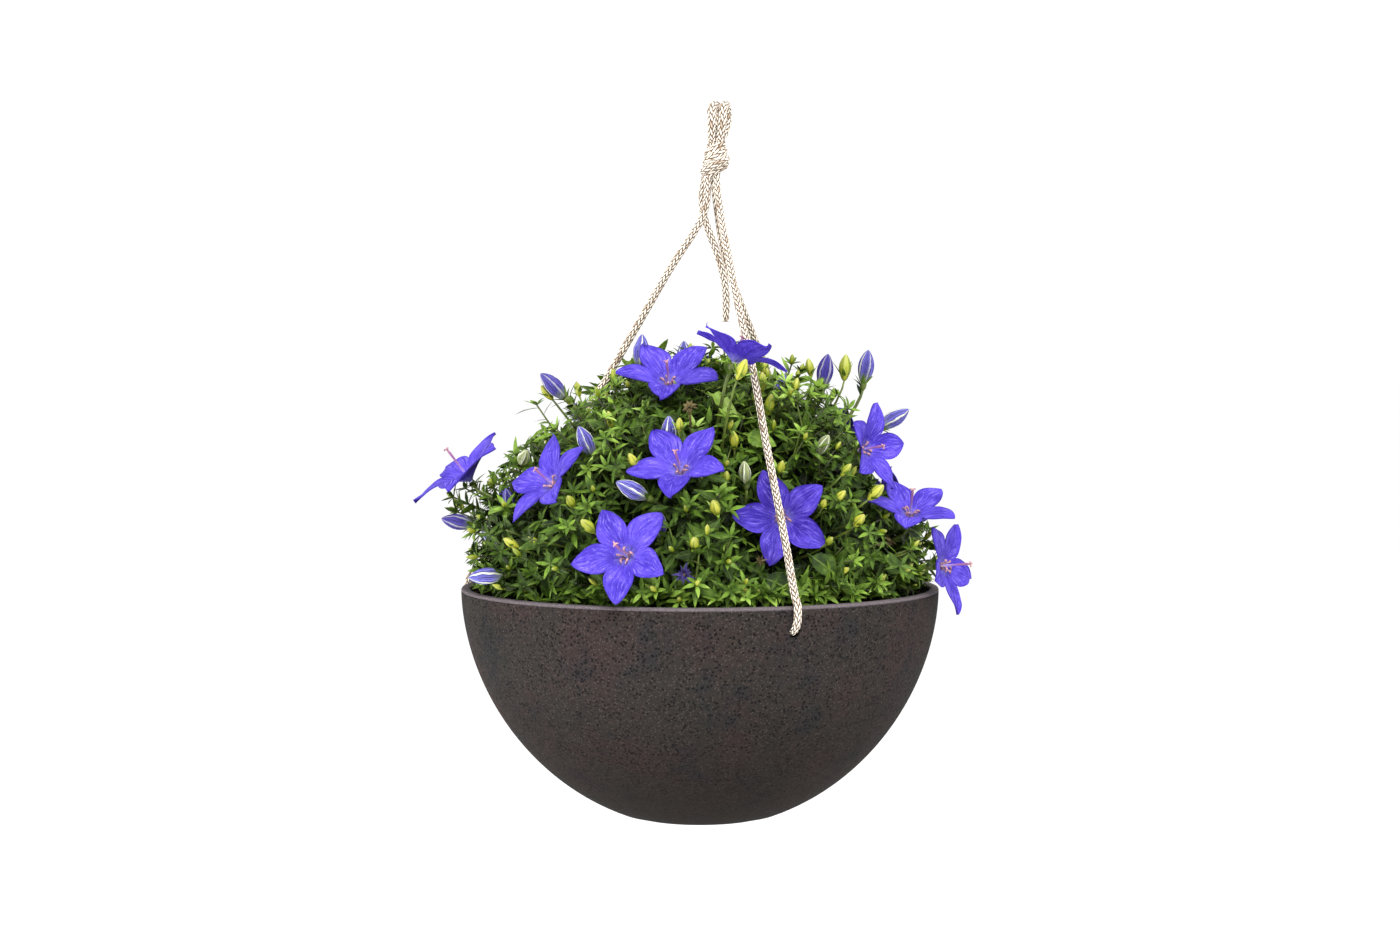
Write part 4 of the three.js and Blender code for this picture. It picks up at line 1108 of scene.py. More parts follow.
def make_pot():
    inside_floor = FLOOR - POT_HEIGHT
    base = bowl_radius(-POT_HEIGHT, 0)
    profile = [
        (DRAIN_RADIUS, inside_floor),
        (DRAIN_RADIUS, -POT_HEIGHT + 0.0006),
        (DRAIN_RADIUS + 0.0006, -POT_HEIGHT),
        (base * 0.6, -POT_HEIGHT),
        (base - 0.0025, -POT_HEIGHT),
        (base - 0.0006, -POT_HEIGHT + 0.0005),
        *bowl_run(-POT_HEIGHT + 0.002, -LIP_BAND - 0.0003, 0, 60),
        (RIM_RADIUS - 0.0005, -LIP_BAND),
        (RIM_RADIUS - 0.0001, -LIP_BAND + 0.0003),
        (RIM_RADIUS, -0.0011),
        (RIM_RADIUS - 0.0004, -0.0003),
        (RIM_RADIUS - 0.0012, 0.0),
        (RIM_RADIUS - 0.0036, 0.0),
        (RIM_RADIUS - 0.0045, -0.0004),
        (RIM_RADIUS - 0.0048, -0.0012),
        *bowl_run(-0.008, inside_floor + 0.001, WALL, 22),
        (30 * MM, inside_floor),
    ]
    columns = 256
    angle = 2 * np.pi * np.arange(columns) / columns
    r, z = np.array(profile).T[..., None]
    points = turned(r, angle, z)
    work = Patchwork()
    rows = len(profile)
    quads = grid_faces(rows, columns, closed=True)
    last = (rows - 1) * columns
    for column in range(columns):
        nxt = (column + 1) % columns
        quads.append((last + column, last + nxt, nxt, column))
    work.add(points.reshape(1, -1, 3), [quads], ring_uv(rows, columns))
    pot = work.object("bowl", [POT])
    drill = Patchwork()
    for azimuth in HOLE_AZIMUTHS.values():
        out = direction(azimuth, 0)
        way = np.stack([out * r + [0, 0, HOLE_Z + 0.0006] for r in (0.112, 0.134)])
        add_stems(drill, way[None], np.full((1, 2), HOLE_RADIUS), 24, 0.5)
        drill.faces.append(list(range(drill.count - 25, drill.count - 49, -1)))
        drill.slots.append(0)
    tool = drill.object("drill", [POT])
    cut = pot.modifiers.new("holes", "BOOLEAN")
    cut.operation = "DIFFERENCE"
    cut.solver = "EXACT"
    cut.object = tool
    shape = pot.evaluated_get(bpy.context.evaluated_depsgraph_get())
    mesh = bpy.data.meshes.new_from_object(shape)
    pot.modifiers.clear()
    pot.data = mesh
    bpy.data.objects.remove(tool)
    mesh.set_sharp_from_angle(angle=math.radians(35))
    fit(pot, "pot")


def make_soil(rng):
    inset = WALL + 0.0011
    columns, rings = 144, 26
    angle = 2 * np.pi * np.arange(columns) / columns
    top = []
    for k in range(rings):
        r = np.full(columns, (bowl_radius(-0.005, inset)) * (k / (rings - 1)) ** 0.8)
        z = -0.0042 - 0.0012 * (k / (rings - 1)) ** 4 + 0.0009 * rng.standard_normal(columns)
        top.append(turned(r, angle, z))
    bottom = FLOOR - POT_HEIGHT + 0.0004
    sides = [turned(r, angle, z) for r, z in bowl_run(-0.012, bottom, inset, 14)]
    sides.append(turned(0, angle, bottom))
    points = np.array(top[1:] + sides)
    work = Patchwork()
    rows = len(points)
    faces = [
        [tuple(reversed(q)) for q in grid_faces(rows, columns, closed=True)],
        [list(range(columns))],
    ]
    work.add(points.reshape(1, -1, 3), faces, ring_uv(rows, columns))
    at = np.sqrt(rng.uniform(0.25, 0.97, CRUMBS)) * bowl_radius(-0.005, inset)
    turn = rng.uniform(0, 2 * np.pi, CRUMBS)
    place = turned(at, turn, rng.uniform(-0.005, -0.0032, CRUMBS))
    size = rng.uniform(0.0006, 0.0017, CRUMBS)
    profile = [(0.0, -1, 0), (0.8, -0.5, 0.2), (1.0, 0.1, 0.3), (0.6, 0.8, 0.2), (0.0, 1, 0)]
    axis = unit(rng.standard_normal((CRUMBS, 3)))
    add_spindles(work, place, axis, size * 0.8, size, profile, 7, 3, 0.5)
    soil = work.object("soil_bed", [SOIL], 1e-7)
    fit(soil, "soil")


make_pot()
make_soil(np.random.default_rng(SOIL_SEED))


# Flowers

PETAL_ROWS = np.array(
    [0.03, 0.1, 0.18, 0.26, 0.33, 0.4, 0.46, 0.52, 0.58, 0.64, 0.7, 0.76, 0.82, 0.87, 0.915, 0.95, 0.975, 1]
)
PETAL_WIDTH = (
    [0.48, 0.53, 0.58, 0.64, 0.71, 0.78, 0.85, 0.90, 0.94, 0.97, 1.0],
    [0.282, 0.296, 0.299, 0.290, 0.262, 0.218, 0.166, 0.126, 0.086, 0.050, 0.0],
)


def petal_points(size, cup, rng):
    """Points of one petal, by row and column: (distance from the axis, angle, height)."""
    s = np.linspace(-1, 1, 13)
    t = PETAL_ROWS[:, None]
    width = np.interp(PETAL_ROWS, *PETAL_WIDTH)[:, None]
    half = np.where(t < 0.48, math.radians(180 / PETALS), np.arcsin(np.minimum(1, width / t)))
    free = np.clip((t - 0.42) / 0.4, 0, 1)
    stretch = 1 + rng.uniform(-0.05, 0.03) * free
    angle = half * s[None] + math.radians(rng.uniform(-3.5, 3.5)) * free**1.5
    distance = t * size * stretch + 0 * s[None]
    height = corolla_height(distance, size, cup)
    crease = np.exp(-((s[None] / 0.13) ** 2)) * np.sin(np.pi * np.minimum(1, t * 1.05))
    height = height - 0.45 * MM * crease
    height = height + size * rng.uniform(-0.035, 0.05) * s[None] ** 2 * free
    height = height + size * rng.uniform(-0.07, 0.05) * free**2
    height = height + size * rng.uniform(-0.05, 0.05) * s[None] * free * t
    wave = np.sin(2 * np.pi * (1.6 * t + rng.uniform(0, 1))) * np.abs(s[None]) ** 3
    height = height + 0.45 * MM * wave * free
    return distance, angle, height


def make_bloom(name, bloom, rng):
    foot, face, turn, size, cup, style = bloom
    foot = np.array(foot)
    n = direction(*face)
    u, v = (x[0] for x in side_frames(n[None]))

    def placed(distance, angle, height):
        a = angle + math.radians(turn)
        return foot + (
            (distance * np.cos(a))[..., None] * u
            + (distance * np.sin(a))[..., None] * v
            + np.asarray(height)[..., None] * n
        )

    work = Patchwork()
    rows, columns = len(PETAL_ROWS), 13
    quads = grid_faces(rows, columns)
    free_rows = int(np.argmax(PETAL_ROWS > 0.47))
    s = np.linspace(0, 1, columns)
    uv = np.stack(np.broadcast_arrays(s[None], PETAL_ROWS[:, None]), -1).reshape(-1, 2)
    n_grid = rows * columns
    rim = []
    for row in range(free_rows, rows - 1):
        for column in (0, columns - 1):
            a, b = row * columns + column, (row + 1) * columns + column
            rim.append((a, b, b + n_grid, a + n_grid) if column else (b, a, a + n_grid, b + n_grid))
    for k in range(PETALS):
        distance, angle, height = petal_points(size, cup, rng)
        angle = angle + 2 * math.pi * k / PETALS
        inner = placed(distance, angle, height + 0.25 * MM).reshape(1, -1, 3)
        outer = placed(distance, angle, height - 0.2 * MM).reshape(1, -1, 3)
        work.add(inner, [quads], uv, 0.5, 0)
        work.add(outer, [[tuple(reversed(q)) for q in quads]], uv, 0.5, 1)
        both = np.concatenate([inner, outer], 1)
        work.add(both, [rim], np.tile(uv, (2, 1)), 0.5, 1)
    lean = rng.uniform(-0.15, 0.15, 2)
    up = np.linspace(0, 1, 9)
    curve = foot + (
        (n * style) * up[:, None]
        + (u * lean[0] + v * lean[1]) * style * up[:, None] ** 2 * 0.5
    )
    thickness = [0.9 * MM, 0.55 * MM, 0.7 * MM, 0.8 * MM, 0.4 * MM]
    radii = np.interp(up, [0, 0.5, 0.85, 0.95, 1], thickness)
    add_stems(work, curve[None], radii[None], 8, 0.5, 2)
    tip = curve[-1]
    lobes = np.arange(3) * 2 * np.pi / 3 + rng.uniform(0, 1)
    out = spokes(lobes, u, v)
    curl = bezier(
        np.tile(tip - n * 0.6 * MM, (3, 1)),
        tip + out * 0.9 * MM + n * 0.7 * MM,
        tip + out * 1.7 * MM - n * 0.3 * MM,
        5,
    )
    add_tapered(work, curl, 0.6, 0.3, 6, 0.5, 3)
    spread = np.arange(PETALS) * 2 * np.pi / PETALS + rng.uniform(0, 1)
    out = spokes(spread, u, v)
    sideways = np.cross(n, out)
    start = foot + out * 1.2 * MM + n * 1.2 * MM
    bend = foot + out * 2.6 * MM + n * 7.0 * MM + sideways * rng.uniform(-2, 2, (5, 1)) * MM
    end = foot + out * 4.2 * MM + n * 4.6 * MM + sideways * rng.uniform(-3, 3, (5, 1)) * MM
    threads = bezier(start, bend, end, 8)
    width = np.tile(np.array([0.6, 0.45, 0.35, 0.4, 0.55, 0.65, 0.55, 0.25]) * MM, (5, 1))
    add_stems(work, threads, width, 6, 0.5, 3)
    flower = work.object(name + "_corolla", [PETAL_IN, PETAL_OUT, STYLE, STAMEN], 2e-6)
    fit(flower, name)


BUD_PROFILE = [
    (0.0, 0.0, 0.0),
    (0.42, 0.015, 0.1),
    (0.62, 0.1, 0.2),
    (0.82, 0.22, 0.28),
    (0.96, 0.36, 0.34),
    (1.0, 0.47, 0.36),
    (0.97, 0.58, 0.36),
    (0.84, 0.7, 0.34),
    (0.64, 0.81, 0.32),
    (0.42, 0.9, 0.3),
    (0.2, 0.965, 0.2),
    (0.0, 1.0, 0.0),
]


def make_bud(name, bud, rng):
    foot, face, length, dark = bud
    work = Patchwork()
    radius = BUD_RADIUS * length / BUD_LENGTH * 1.04
    turn = rng.uniform(0, 2 * np.pi)
    add_spindles(work, np.array([foot]), direction(*face)[None], length, radius, BUD_PROFILE, 40,
                 PETALS, dark, turn=turn, twist=0.35)
    fit(work.object(name + "_striped", [BUD], MERGE), name)


for number, bloom in enumerate(ALL_BLOOMS, 1):
    make_bloom(f"bloom_{number}", bloom, np.random.default_rng(BLOOM_SEED + number))
for number, bud in enumerate(ALL_BUDS, 1):
    make_bud(f"bud_{number}", bud, np.random.default_rng(BUD_SEED + number))


# Faded flowers: place, how many shrivelled petals, their length, 0 for violet or 1 for brown
FADED = [
    ((-0.0076, -0.117, 0.0157), 11, 0.0048, 0),
    ((0.098, -0.045, 0.026), 8, 0.0042, 1),
    ((-0.0053, -0.081, 0.096), 8, 0.0045, 1),
    ((0.030, -0.088, 0.020), 7, 0.0035, 1),
    ((-0.060, 0.070, 0.085), 9, 0.0045, 1),
]


# Clearances of the foliage

BLOOM_FEET = np.array([b[0] for b in ALL_BLOOMS])
BLOOM_AXES = np.array([direction(*b[1]) for b in ALL_BLOOMS])
BLOOM_RADII = np.array([b[3] for b in ALL_BLOOMS])
BLOOM_CUPS = np.array([b[4] for b in ALL_BLOOMS])
BUD_FEET = np.array([b[0] for b in ALL_BUDS])
BUD_TIPS = BUD_FEET + np.array([direction(*b[1]) * b[2] for b in ALL_BUDS])
ROPE_DOTS = np.vstack([smooth_way(route, 0.004)[0] for route in ROPE_ROUTES.values()])
FADED_PLACES = np.array([row[0] for row in FADED])
EYE = np.array(CAMERA_PLACE)

# How far the bush reaches on the right, seen from the front: heights, and distances there
EDGE_HEIGHTS = (0.020, 0.035, 0.045, 0.055, 0.065, 0.080, 0.096, 0.112, 0.119, 0.124, 0.129, 0.135)
EDGE_REACHES = (0.135, 0.127, 0.115, 0.098, 0.095, 0.096, 0.088, 0.090, 0.068, 0.048, 0.033, 0.028)
EDGE_MARGIN = 0.0035


def is_free(points, clear=1.2 * MM):
    """True where a leaf may be: not in or before a flower, nor on a bud, a rope or the rim."""
    p = np.asarray(points, float)
    away = p[..., None, :] - BLOOM_FEET
    h = np.einsum("...bk,bk->...b", away, BLOOM_AXES)
    distance = np.sqrt(np.maximum(0, (away**2).sum(-1) - h**2))
    under = corolla_height(distance, BLOOM_RADII, BLOOM_CUPS) - clear
    blocked = (distance < BLOOM_RADII + 1 * MM) & (h > under) & (h < 1.3 * BLOOM_RADII)
    view = unit(EYE - p)[..., None, :]
    rise = 0.2 * BLOOM_RADII
    ahead = (h - rise) / np.einsum("...bk,bk->...b", view + 0 * away, BLOOM_AXES)
    meets = away - ahead[..., None] * view - BLOOM_AXES * rise[:, None]
    hides = (ahead > 0) & (ahead < 60 * MM) & (np.linalg.norm(meets, axis=-1) < 0.96 * BLOOM_RADII)
    hides = hides[..., : len(BLOOMS)]
    on_bud = np.zeros(p.shape[:-1], bool)
    for share in (0.1, 0.4, 0.7, 1.0):
        spot = BUD_FEET + (BUD_TIPS - BUD_FEET) * share
        near = np.linalg.norm(p[..., None, :] - spot, axis=-1) < BUD_RADIUS + clear
        on_bud |= near.any(-1)
    on_rope = (np.linalg.norm(p[..., None, :] - ROPE_DOTS, axis=-1) < ROPE_RADIUS + clear).any(-1)
    before = ((p[..., None, :] - FADED_PLACES) * view).sum(-1)
    aside = np.linalg.norm(p[..., None, :] - FADED_PLACES - before[..., None] * view, axis=-1)
    on_faded = ((aside < 5.5 * MM) & (before > -3 * MM) & (before < 40 * MM)).any(-1)
    level = np.hypot(p[..., 0], p[..., 1])
    within = level < RIM_RADIUS - WALL - 2.5 * MM
    above = (p[..., 2] > 1.5 * MM) | (within & (p[..., 2] > -3 * MM))
    seen = p[..., 0] * EYE[1] / (EYE[1] - p[..., 1])
    inside = seen < np.interp(p[..., 2], EDGE_HEIGHTS, EDGE_REACHES) - EDGE_MARGIN
    return ~(blocked.any(-1) | hides.any(-1) | on_bud | on_rope | on_faded) & above & inside


# Foliage

LOBE = [(0, 0.3), (0.22, 0.82), (0.46, 1.0), (0.74, 0.62), (1, 0.0)]
LEAFLET = [(0, 0.15), (0.22, 0.7), (0.42, 1.0), (0.62, 0.85), (0.8, 0.5), (1, 0.0)]
PLAIN = [(0, 0.15), (0.3, 0.95), (0.6, 0.85), (1, 0.0)]
OVATE = [(0, 0.07), (0.14, 0.08), (0.2, 0.5), (0.27, 0.88), (0.3, 0.8), (0.4, 1.02), (0.43, 0.92),
         (0.54, 0.98), (0.57, 0.86), (0.68, 0.8), (0.71, 0.68), (0.82, 0.5), (0.92, 0.25), (1, 0.0)]
YOUNG_PROFILE = [
    (0.25, -0.04, 0.0),
    (0.5, 0.04, 0.1),
    (0.85, 0.26, 0.16),
    (1.0, 0.45, 0.18),
    (0.9, 0.63, 0.18),
    (0.6, 0.82, 0.16),
    (0.25, 0.96, 0.1),
    (0.0, 1.0, 0.0),
]

# Tips of the sprigs that stand clear of the bush
EDGE_SPRIGS = [
    (0.072, -0.014, 0.102), (0.061, -0.016, 0.107), (0.053, -0.010, 0.114), (0.048, -0.020, 0.118),
    (-0.085, -0.030, 0.097), (-0.066, -0.030, 0.096), (-0.080, -0.028, 0.083),
    (-0.082, -0.036, 0.078), (-0.101, -0.020, 0.064), (-0.106, -0.030, 0.056),
    (-0.130, -0.014, 0.048), (-0.1275, -0.020, 0.0405), (-0.109, -0.040, 0.022),
    (-0.118, -0.020, 0.019), (-0.090, -0.044, 0.074), (-0.124, -0.006, 0.052),
]


def random_ways(rng, count):
    return unit(rng.standard_normal((count, 3)))


def share_of_dome(points):
    """How far out the points are, as a share of the dome's reach in their direction."""
    reach = np.linalg.norm(points, axis=-1)
    azimuth = np.degrees(np.arctan2(points[..., 0], -points[..., 1]))
    elevation = np.degrees(np.arcsin(np.clip(points[..., 2] / reach, -1, 1)))
    return reach / dome_radius(azimuth, elevation)


def add_stars(work, centre, n, lobe, width, cup, tint, rng):
    """Five-lobed green stars: the calyxes and leaf tufts at the sprig tips."""
    u, v = side_frames(n)
    count = len(centre)
    turn = rng.uniform(0, 2 * np.pi, count)
    for k in range(5):
        a = (turn + 2 * np.pi * (k + rng.uniform(-0.08, 0.08, count)) / 5)[:, None]
        out = u * np.cos(a) + v * np.sin(a)
        tilt = np.broadcast_to(cup, count)[:, None] + rng.uniform(-0.2, 0.2, (count, 1))
        along = unit(out * np.cos(tilt) + n * np.sin(tilt))
        face = unit(n * np.cos(tilt) - out * np.sin(tilt))
        length = lobe * rng.uniform(0.8, 1.15, count)
        add_blades(work, centre + out * 0.5 * MM, along, face, length, width, LOBE,
                   tint + rng.uniform(-0.08, 0.08, count), arch=rng.uniform(-0.1, 0.3, count),
                   fold=0.4)


def stem_ways(roots, bends, tips, t):
    """Points and headings at the share t of each curved stem."""
    at = roots * (1 - t) ** 2 + 2 * bends * t * (1 - t) + tips * t**2
    return at, unit((1 - t) * (bends - roots) + t * (tips - bends))


def place_tips(rng):
    """Tips of the main sprigs, each as far out as it finds room, and the ways that they point."""
    i = np.arange(SPRIGS)
    low = math.sin(math.radians(5))
    elevation = np.degrees(np.arcsin(low + (1 - low) * (i + 0.5) / SPRIGS))
    azimuth = i * GOLDEN_ANGLE + 11
    elevation = np.append(elevation, rng.uniform(1, 6, SKIRT_SPRIGS))
    even = np.arange(SKIRT_SPRIGS) * 360 / SKIRT_SPRIGS
    azimuth = np.append(azimuth, even + rng.uniform(-2, 2, SKIRT_SPRIGS))
    out = direction(azimuth, elevation)
    n = unit(out * 0.8 + [0, 0, 0.3] + 0.45 * random_ways(rng, len(out)))
    chosen = np.zeros(len(out), bool)
    tips = np.zeros_like(out)
    for share in (0.99, 0.93, 0.87, 0.81, 0.75, 0.69):
        centre = on_dome(azimuth, elevation, share + rng.uniform(-0.05, 0.03, len(out)))
        free = is_free(np.stack([centre, centre + n * 4 * MM, centre + out * 5 * MM], 1)).all(1)
        take = free & ~chosen
        tips[take] = centre[take]
        chosen |= take
    edge = np.array(EDGE_SPRIGS)
    tips = np.vstack([tips[chosen], edge])
    n = np.vstack([n[chosen], unit(edge + [0, 0, 0.05] + 0.05 * random_ways(rng, len(edge)))])
    return tips, n


def make_sprigs(stars, leaves, woody, young, rng):
    tips, n = place_tips(rng)
    out = unit(tips)
    count = len(tips)
    roots = raised(tips * 0.4, 6 * MM)
    bends = raised(tips * 0.8 - n * 13 * MM, 4 * MM)
    add_tapered(woody, bezier(roots, bends, tips, 8), 1.0, 0.45, 5, rng.uniform(0.2, 0.6, count))
    add_stars(stars, tips, n, rng.uniform(6, 8.5, count) * MM, 1.15 * MM,
              rng.uniform(0.0, 0.85, count), rng.uniform(0.4, 0.85, count), rng)
    budded = rng.uniform(size=count) < 0.4
    some = budded.sum()
    add_spindles(young, tips[budded], n[budded], rng.uniform(3.5, 6.5, some) * MM, 1.4 * MM,
                 YOUNG_PROFILE, 10, PETALS, rng.uniform(0, 0.6, some))

    for _ in range(FORKS):
        t = rng.uniform(0.45, 0.9, count)[:, None]
        fork, heading = stem_ways(roots, bends, tips, t)
        aim = unit(out * 0.6 + heading * 0.3 + random_ways(rng, count) * 0.8 + [0, 0, 0.15])
        end = fork + aim * rng.uniform(11, 22, count)[:, None] * MM
        keep = is_free(np.stack([end, end + aim * 5 * MM, (fork + end) / 2], 1)).all(1)
        keep &= share_of_dome(end) < 1.0
        fork, end, aim = kept(keep, fork, end, aim)
        some = len(end)
        ways = bezier(fork, (fork + end) / 2 - aim * 2 * MM + [0, 0, -2 * MM], end, 4)
        add_tapered(woody, ways, 0.6, 0.4, 4, rng.uniform(0.3, 0.8, some))
        # Painted shade: stars and leaflets further inside the bush get a darker tint
        depth = np.clip((share_of_dome(end) - 0.6) / 0.4, 0, 1)
        add_stars(stars, end, unit(aim + [0, 0, 0.2]), rng.uniform(5, 8, some) * MM, 1.1 * MM,
                  rng.uniform(0.0, 0.85, some), 0.2 + 0.42 * depth + rng.uniform(-0.1, 0.12, some),
                  rng)
        for turn in (-1, 1):
            at = (fork + end) / 2 + turn * (end - fork) * 0.15
            side = unit(np.cross(aim, random_ways(rng, some)))
            along = unit(aim * 0.55 + side * 0.8)
            add_blades(leaves, at, along, faced(along, aim),
                       rng.uniform(7, 12, some) * MM, rng.uniform(1.1, 1.7, some) * MM, LEAFLET,
                       0.15 + 0.45 * depth + rng.uniform(-0.1, 0.1, some))

    for order in range(LEAF_NODES):
        t = (0.4 + 0.58 * (order + rng.uniform(0, 1, count)) / LEAF_NODES)[:, None]
        at, heading = stem_ways(roots, bends, tips, t)
        side = unit(np.cross(heading, random_ways(rng, count)))
        along = unit(side * 0.8 + heading * 0.6 + [0, 0, -0.1])
        face = faced(along, heading)
        length = rng.uniform(8, 15, count) * MM
        reach = along * length[:, None]
        keep = is_free(np.stack([at + reach, at + reach * 0.5], 1)).all(1)
        # Painted shade: leaves further inside the bush get a darker tint
        depth = np.clip((share_of_dome(at) - 0.5) / 0.5, 0, 1)
        width = length * rng.uniform(0.11, 0.2, count)
        tint = 0.05 + 0.5 * depth + rng.uniform(-0.12, 0.15, count)
        arch = rng.uniform(0.05, 0.4, keep.sum())
        twist = rng.uniform(-0.6, 0.6, keep.sum())
        add_blades(leaves, *kept(keep, at, along, face, length, width), LEAFLET, tint[keep],
                   arch=arch, twist=twist)


def make_inner_leaves(work, rng):
    """Leaves deep in the bush, painted darker as the shade there, which close its heart."""
    count = INNER_LEAVES
    i = np.arange(count)
    elevation = np.degrees(np.arcsin(0.01 + 0.98 * (i + 0.5) / count))
    azimuth = i * GOLDEN_ANGLE + rng.uniform(-8, 8, count)
    share = rng.uniform(0.58, 0.9, count)
    base = on_dome(azimuth, elevation, share)
    out = direction(azimuth, elevation)
    along = unit(out * 0.35 + random_ways(rng, count) * 0.8)
    face = unit(np.cross(along, np.cross(out, along)))
    length = rng.uniform(8, 14, count) * MM
    keep = is_free(np.stack([base, base + along * length[:, None]], 1)).all(1)
    # Painted shade: the deeper the leaf, the darker its tint
    tint = 0.02 + 0.4 * (share - 0.58) / 0.32 + rng.uniform(-0.06, 0.12, count)
    width = length * rng.uniform(0.12, 0.19, count)
    add_blades(work, *kept(keep, base, along, face, length, width), PLAIN, tint[keep],
               arch=rng.uniform(0.1, 0.4, keep.sum()))


def make_fringe(stars, leaves, rng):
    """Low growth that leans on the rim all round."""
    count = FRINGE
    azimuth = np.arange(count) * 360 / count + rng.uniform(-2, 2, count)
    level = rng.uniform(0.098, 0.114, count)
    base = direction(azimuth, 0) * level[:, None]
    base[:, 2] = rng.uniform(-2.5, 5, count) * MM
    out = direction(azimuth, 0)
    for _ in range(3):
        along = unit(out * 0.5 + random_ways(rng, count) * 0.6 + [0, 0, 0.3])
        length = rng.uniform(7, 14, count) * MM
        keep = is_free(np.stack([base + along * length[:, None] * x for x in (0.4, 1)], 1)).all(1)
        face = unit(np.cross(along, np.cross(out + [0, 0, 0.6], along)))
        width = length * rng.uniform(0.13, 0.22, count)
        add_blades(leaves, *kept(keep, base, along, face, length, width), LEAFLET,
                   rng.uniform(0.35, 0.8, keep.sum()), arch=rng.uniform(0.0, 0.4, keep.sum()))
    centre = base + out * 5 * MM + [0, 0, 2.5 * MM]
    n = unit(out * 0.8 + [0, 0, 0.6] + 0.4 * random_ways(rng, count))
    keep = is_free(np.stack([centre, centre + n * 4 * MM], 1)).all(1)
    keep &= rng.uniform(size=count) < 0.8
    add_stars(stars, centre[keep], n[keep], rng.uniform(5.5, 8, keep.sum()) * MM, 1.15 * MM,
              rng.uniform(0.3, 0.95, keep.sum()), rng.uniform(0.4, 0.75, keep.sum()), rng)


def make_carriers(green, woody, rng):
    """Stalk, cup and calyx of each flower and striped bud."""
    feet = np.vstack([BLOOM_FEET, BUD_FEET])
    n = np.vstack([BLOOM_AXES, unit(BUD_TIPS - BUD_FEET)])
    seat = feet - n * 0.4 * MM
    count = len(feet)
    add_spindles(woody, seat - n * 3.4 * MM, n, 3.6 * MM, 2.0 * MM,
                 [(0.4, 0, 0), (0.8, 0.3, 0.1), (1.0, 0.75, 0.15), (0.9, 1.0, 0.1)], 15, PETALS, 0.6)
    cup = np.where(np.arange(count) < len(BLOOM_FEET), 0.35, 0.95)
    add_stars(green, seat - n * 1.6 * MM, n, np.full(count, 9 * MM), 1.15 * MM, cup,
              np.full(count, 0.6), rng)
    bend = seat - n * 16 * MM
    roots = raised(bend * 0.5, 8 * MM)
    add_tapered(woody, bezier(roots, bend, seat - n * 3 * MM, 9), 1.2, 0.8, 7, 0.6)
    for t in (0.6, 0.72, 0.84, 0.93):
        at, heading = stem_ways(roots, bend, seat, t)
        side = unit(np.cross(heading, random_ways(rng, count)))
        for turn in (-1, 1):
            along = unit(heading * 0.6 + side * 0.8 * turn)
            length = rng.uniform(8, 13, count) * MM
            keep = is_free(at + along * length[:, None])
            face = faced(along, heading)
            add_blades(green, *kept(keep, at, along, face, length), 1.4 * MM, LEAFLET,
                       rng.uniform(0.3, 0.6, keep.sum()))


def met_by_sight(x, z):
    """Where the line of sight to a place in the middle plane enters the bush."""
    y = np.linspace(-0.15, 0.0, 151)
    points = EYE + (np.array([x, 0, z]) - EYE) * (1 - y / EYE[1])[:, None]
    inside = share_of_dome(points) < 0.96
    inside[-1] = True
    return points[np.argmax(inside)]


def make_young_buds(green, woody, young, rng):
    i = np.arange(HIDDEN_BUDS)
    azimuth, elevation = np.array(YOUNG_BUDS, float).T
    azimuth = np.append(azimuth, i * GOLDEN_ANGLE + 40)
    elevation = np.append(elevation, np.degrees(np.arcsin(0.1 + 0.85 * (i + 0.5) / HIDDEN_BUDS)))
    foot = on_dome(azimuth, elevation, 0.94)
    n = direction(azimuth + rng.uniform(-15, 15, len(foot)), np.minimum(85, elevation + 16))
    length = rng.uniform(8, 11.5, len(foot)) * MM
    tip = foot + n * length[:, None]
    keep = is_free(np.stack([foot, (foot + tip) / 2, tip], 1)).all(1)
    keep &= (foot[:, 1] > 0) | (np.arange(len(foot)) < len(YOUNG_BUDS))
    seen = np.array([met_by_sight(x, z) for x, z, _ in SEEN_BUDS])
    level = np.degrees(np.arctan2(seen[:, 0], -seen[:, 1]))
    up = np.degrees(np.arcsin(seen[:, 2] / np.linalg.norm(seen, axis=-1)))
    seen_n = direction(level + rng.uniform(-25, 25, len(seen)), up + 18)
    seen_length = np.array([row[2] for row in SEEN_BUDS])
    seen = seen - seen_n * seen_length[:, None] / 2
    clear_n = np.array([direction(*row[1]) for row in CLEAR_BUDS])
    foot = np.vstack([foot[keep], seen, [row[0] for row in CLEAR_BUDS]])
    n = np.vstack([n[keep], seen_n, clear_n])
    length = np.concatenate([length[keep], seen_length, [row[2] for row in CLEAR_BUDS]])
    count = len(foot)
    add_spindles(young, foot, n, length, length * 0.26, YOUNG_PROFILE, 20, PETALS,
                 rng.uniform(0.2, 1.0, count), turn=rng.uniform(0, 6.28, count))
    add_stars(green, foot, n, length * 0.8, 1.05 * MM, np.full(count, 1.05),
              rng.uniform(0.5, 0.75, count), rng)
    bend = foot - n * 12 * MM
    roots = raised(bend * 0.55, 8 * MM)
    add_tapered(woody, bezier(roots, bend, foot, 7), 0.9, 0.5, 6, 0.7)


def make_seen_leaves(green):
    for x, z, tip_x, tip_z, width, tint in SEEN_LEAVES:
        foot = met_by_sight(x, z)
        sight = unit(EYE - foot)
        foot = foot + sight * 2 * MM
        along = met_by_sight(tip_x, tip_z) + sight * 4 * MM - foot
        length = np.linalg.norm(along)
        add_blades(green, foot[None], along[None] / length, unit(sight + [0, 0, 0.6])[None], length,
                   width / 2, OVATE, tint, arch=0.1, fold=0.2)


def make_broad_leaves(green, woody, rng):
    for (azimuth, elevation), share, length, lift, tint in BROAD_LEAVES:
        base = on_dome(azimuth, elevation, share * 0.92)
        along = direction(azimuth + rng.uniform(-25, 25), lift)
        face = side_frames(along[None])[1]
        add_blades(green, base[None], along[None], face, length * 1.1, length * 0.36, OVATE, tint,
                   arch=0.25, fold=0.2)
        way = bezier(base[None] * 0.6, base[None] * 0.85, (base + along * length * 0.15)[None], 5)
        add_tapered(woody, way, 0.6, 0.6, 6, 0.6)


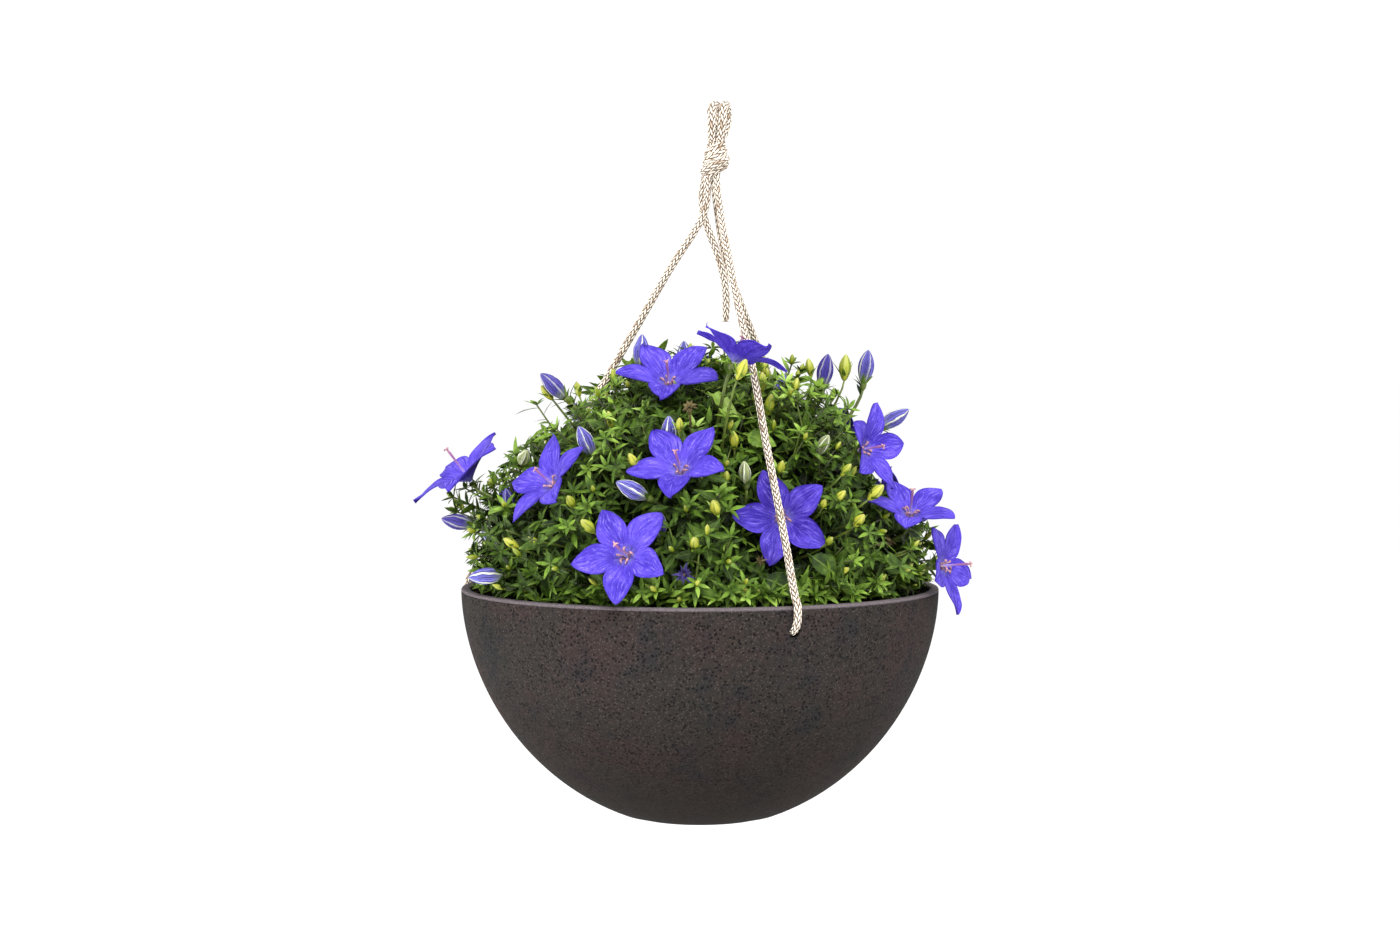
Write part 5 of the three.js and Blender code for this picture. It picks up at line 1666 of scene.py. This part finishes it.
def make_faded(rng):
    work = Patchwork()
    for place, petals, length, slot in FADED:
        centre = np.tile(place, (petals, 1))
        n = unit(np.array(place))
        u, v = (x[0] for x in side_frames(n[None]))
        turn = np.arange(petals) * 2 * np.pi / petals + rng.uniform(0, 0.4, petals)
        out = spokes(turn, u, v)
        along = unit(out + n * rng.uniform(0.1, 1.6, (petals, 1)))
        face = unit(np.cross(along, np.cross(n, along)))
        add_blades(work, centre, along, face, rng.uniform(0.8, 1.3, petals) * length,
                   length * 0.24, LOBE, 0.5, slot, arch=rng.uniform(-0.2, 0.9, petals), fold=0.9,
                   twist=rng.uniform(-2.0, 2.0, petals))
        add_spindles(work, (np.array(place) - n * 2.5 * MM)[None], n[None], 4 * MM, 1.7 * MM,
                     YOUNG_PROFILE, 15, PETALS, 0.5, 1)
        way = bezier(*(np.array(place)[None] * x for x in (0.7, 0.85, 0.98)), 5)
        add_tapered(work, way, 0.6, 0.6, 6, 0.5, 1)
    return work.object("faded_flowers", [FADED_VIOLET, WITHERED])


def make_shade_shell(rng):
    """Dark shell deep in the bush, painted shade in the gaps between leaves; rough all over, it keeps
    behind the flowers.
    """
    rows, columns = 34, 108
    elevation = np.linspace(1, 89.5, rows)
    azimuth = 360 * np.arange(columns) / columns
    points = []
    for e in elevation:
        rough = 0.04 * rng.standard_normal(columns)
        ring = on_dome(azimuth, np.full(columns, e), 0.4 + rough)
        for share in (0.5, 0.58, 0.64, 0.69):
            wider = on_dome(azimuth, np.full(columns, e), share + rough)
            free = is_free(wider, 6 * MM) | (np.abs(wider[:, 2]) < 5 * MM)
            ring = np.where(free[:, None], wider, ring)
        if e < 2:
            ring[:, 2] = -2 * MM
        points.append(ring)
    points = np.array(points)
    last = (rows - 1) * columns
    work = Patchwork()
    faces = [
        grid_faces(rows, columns, closed=True),
        [list(range(last, last + columns))],
        [list(range(columns))[::-1]],
    ]
    work.add(points.reshape(1, -1, 3), faces, ring_uv(rows, columns))
    return work.object("painted_shade_shell", [SHADE_SHELL])


def make_foliage():
    rng = np.random.default_rng(FOLIAGE_SEED)
    stars, leaves, inner, woody, young = (Patchwork() for _ in range(5))
    make_sprigs(stars, leaves, woody, young, rng)
    make_inner_leaves(inner, rng)
    make_fringe(stars, leaves, rng)
    make_carriers(stars, woody, rng)
    make_young_buds(stars, woody, young, rng)
    make_seen_leaves(leaves)
    make_broad_leaves(leaves, woody, rng)
    pieces = [
        stars.object("sprig_stars", [LEAF]),
        leaves.object("sprig_leaves", [LEAF]),
        inner.object("inner_leaves", [LEAF]),
        woody.object("stems", [STEM]),
        young.object("young_buds", [YOUNG]),
        make_faded(rng),
        make_shade_shell(rng),
    ]
    for piece in pieces:
        fit(piece, "foliage")


make_foliage()
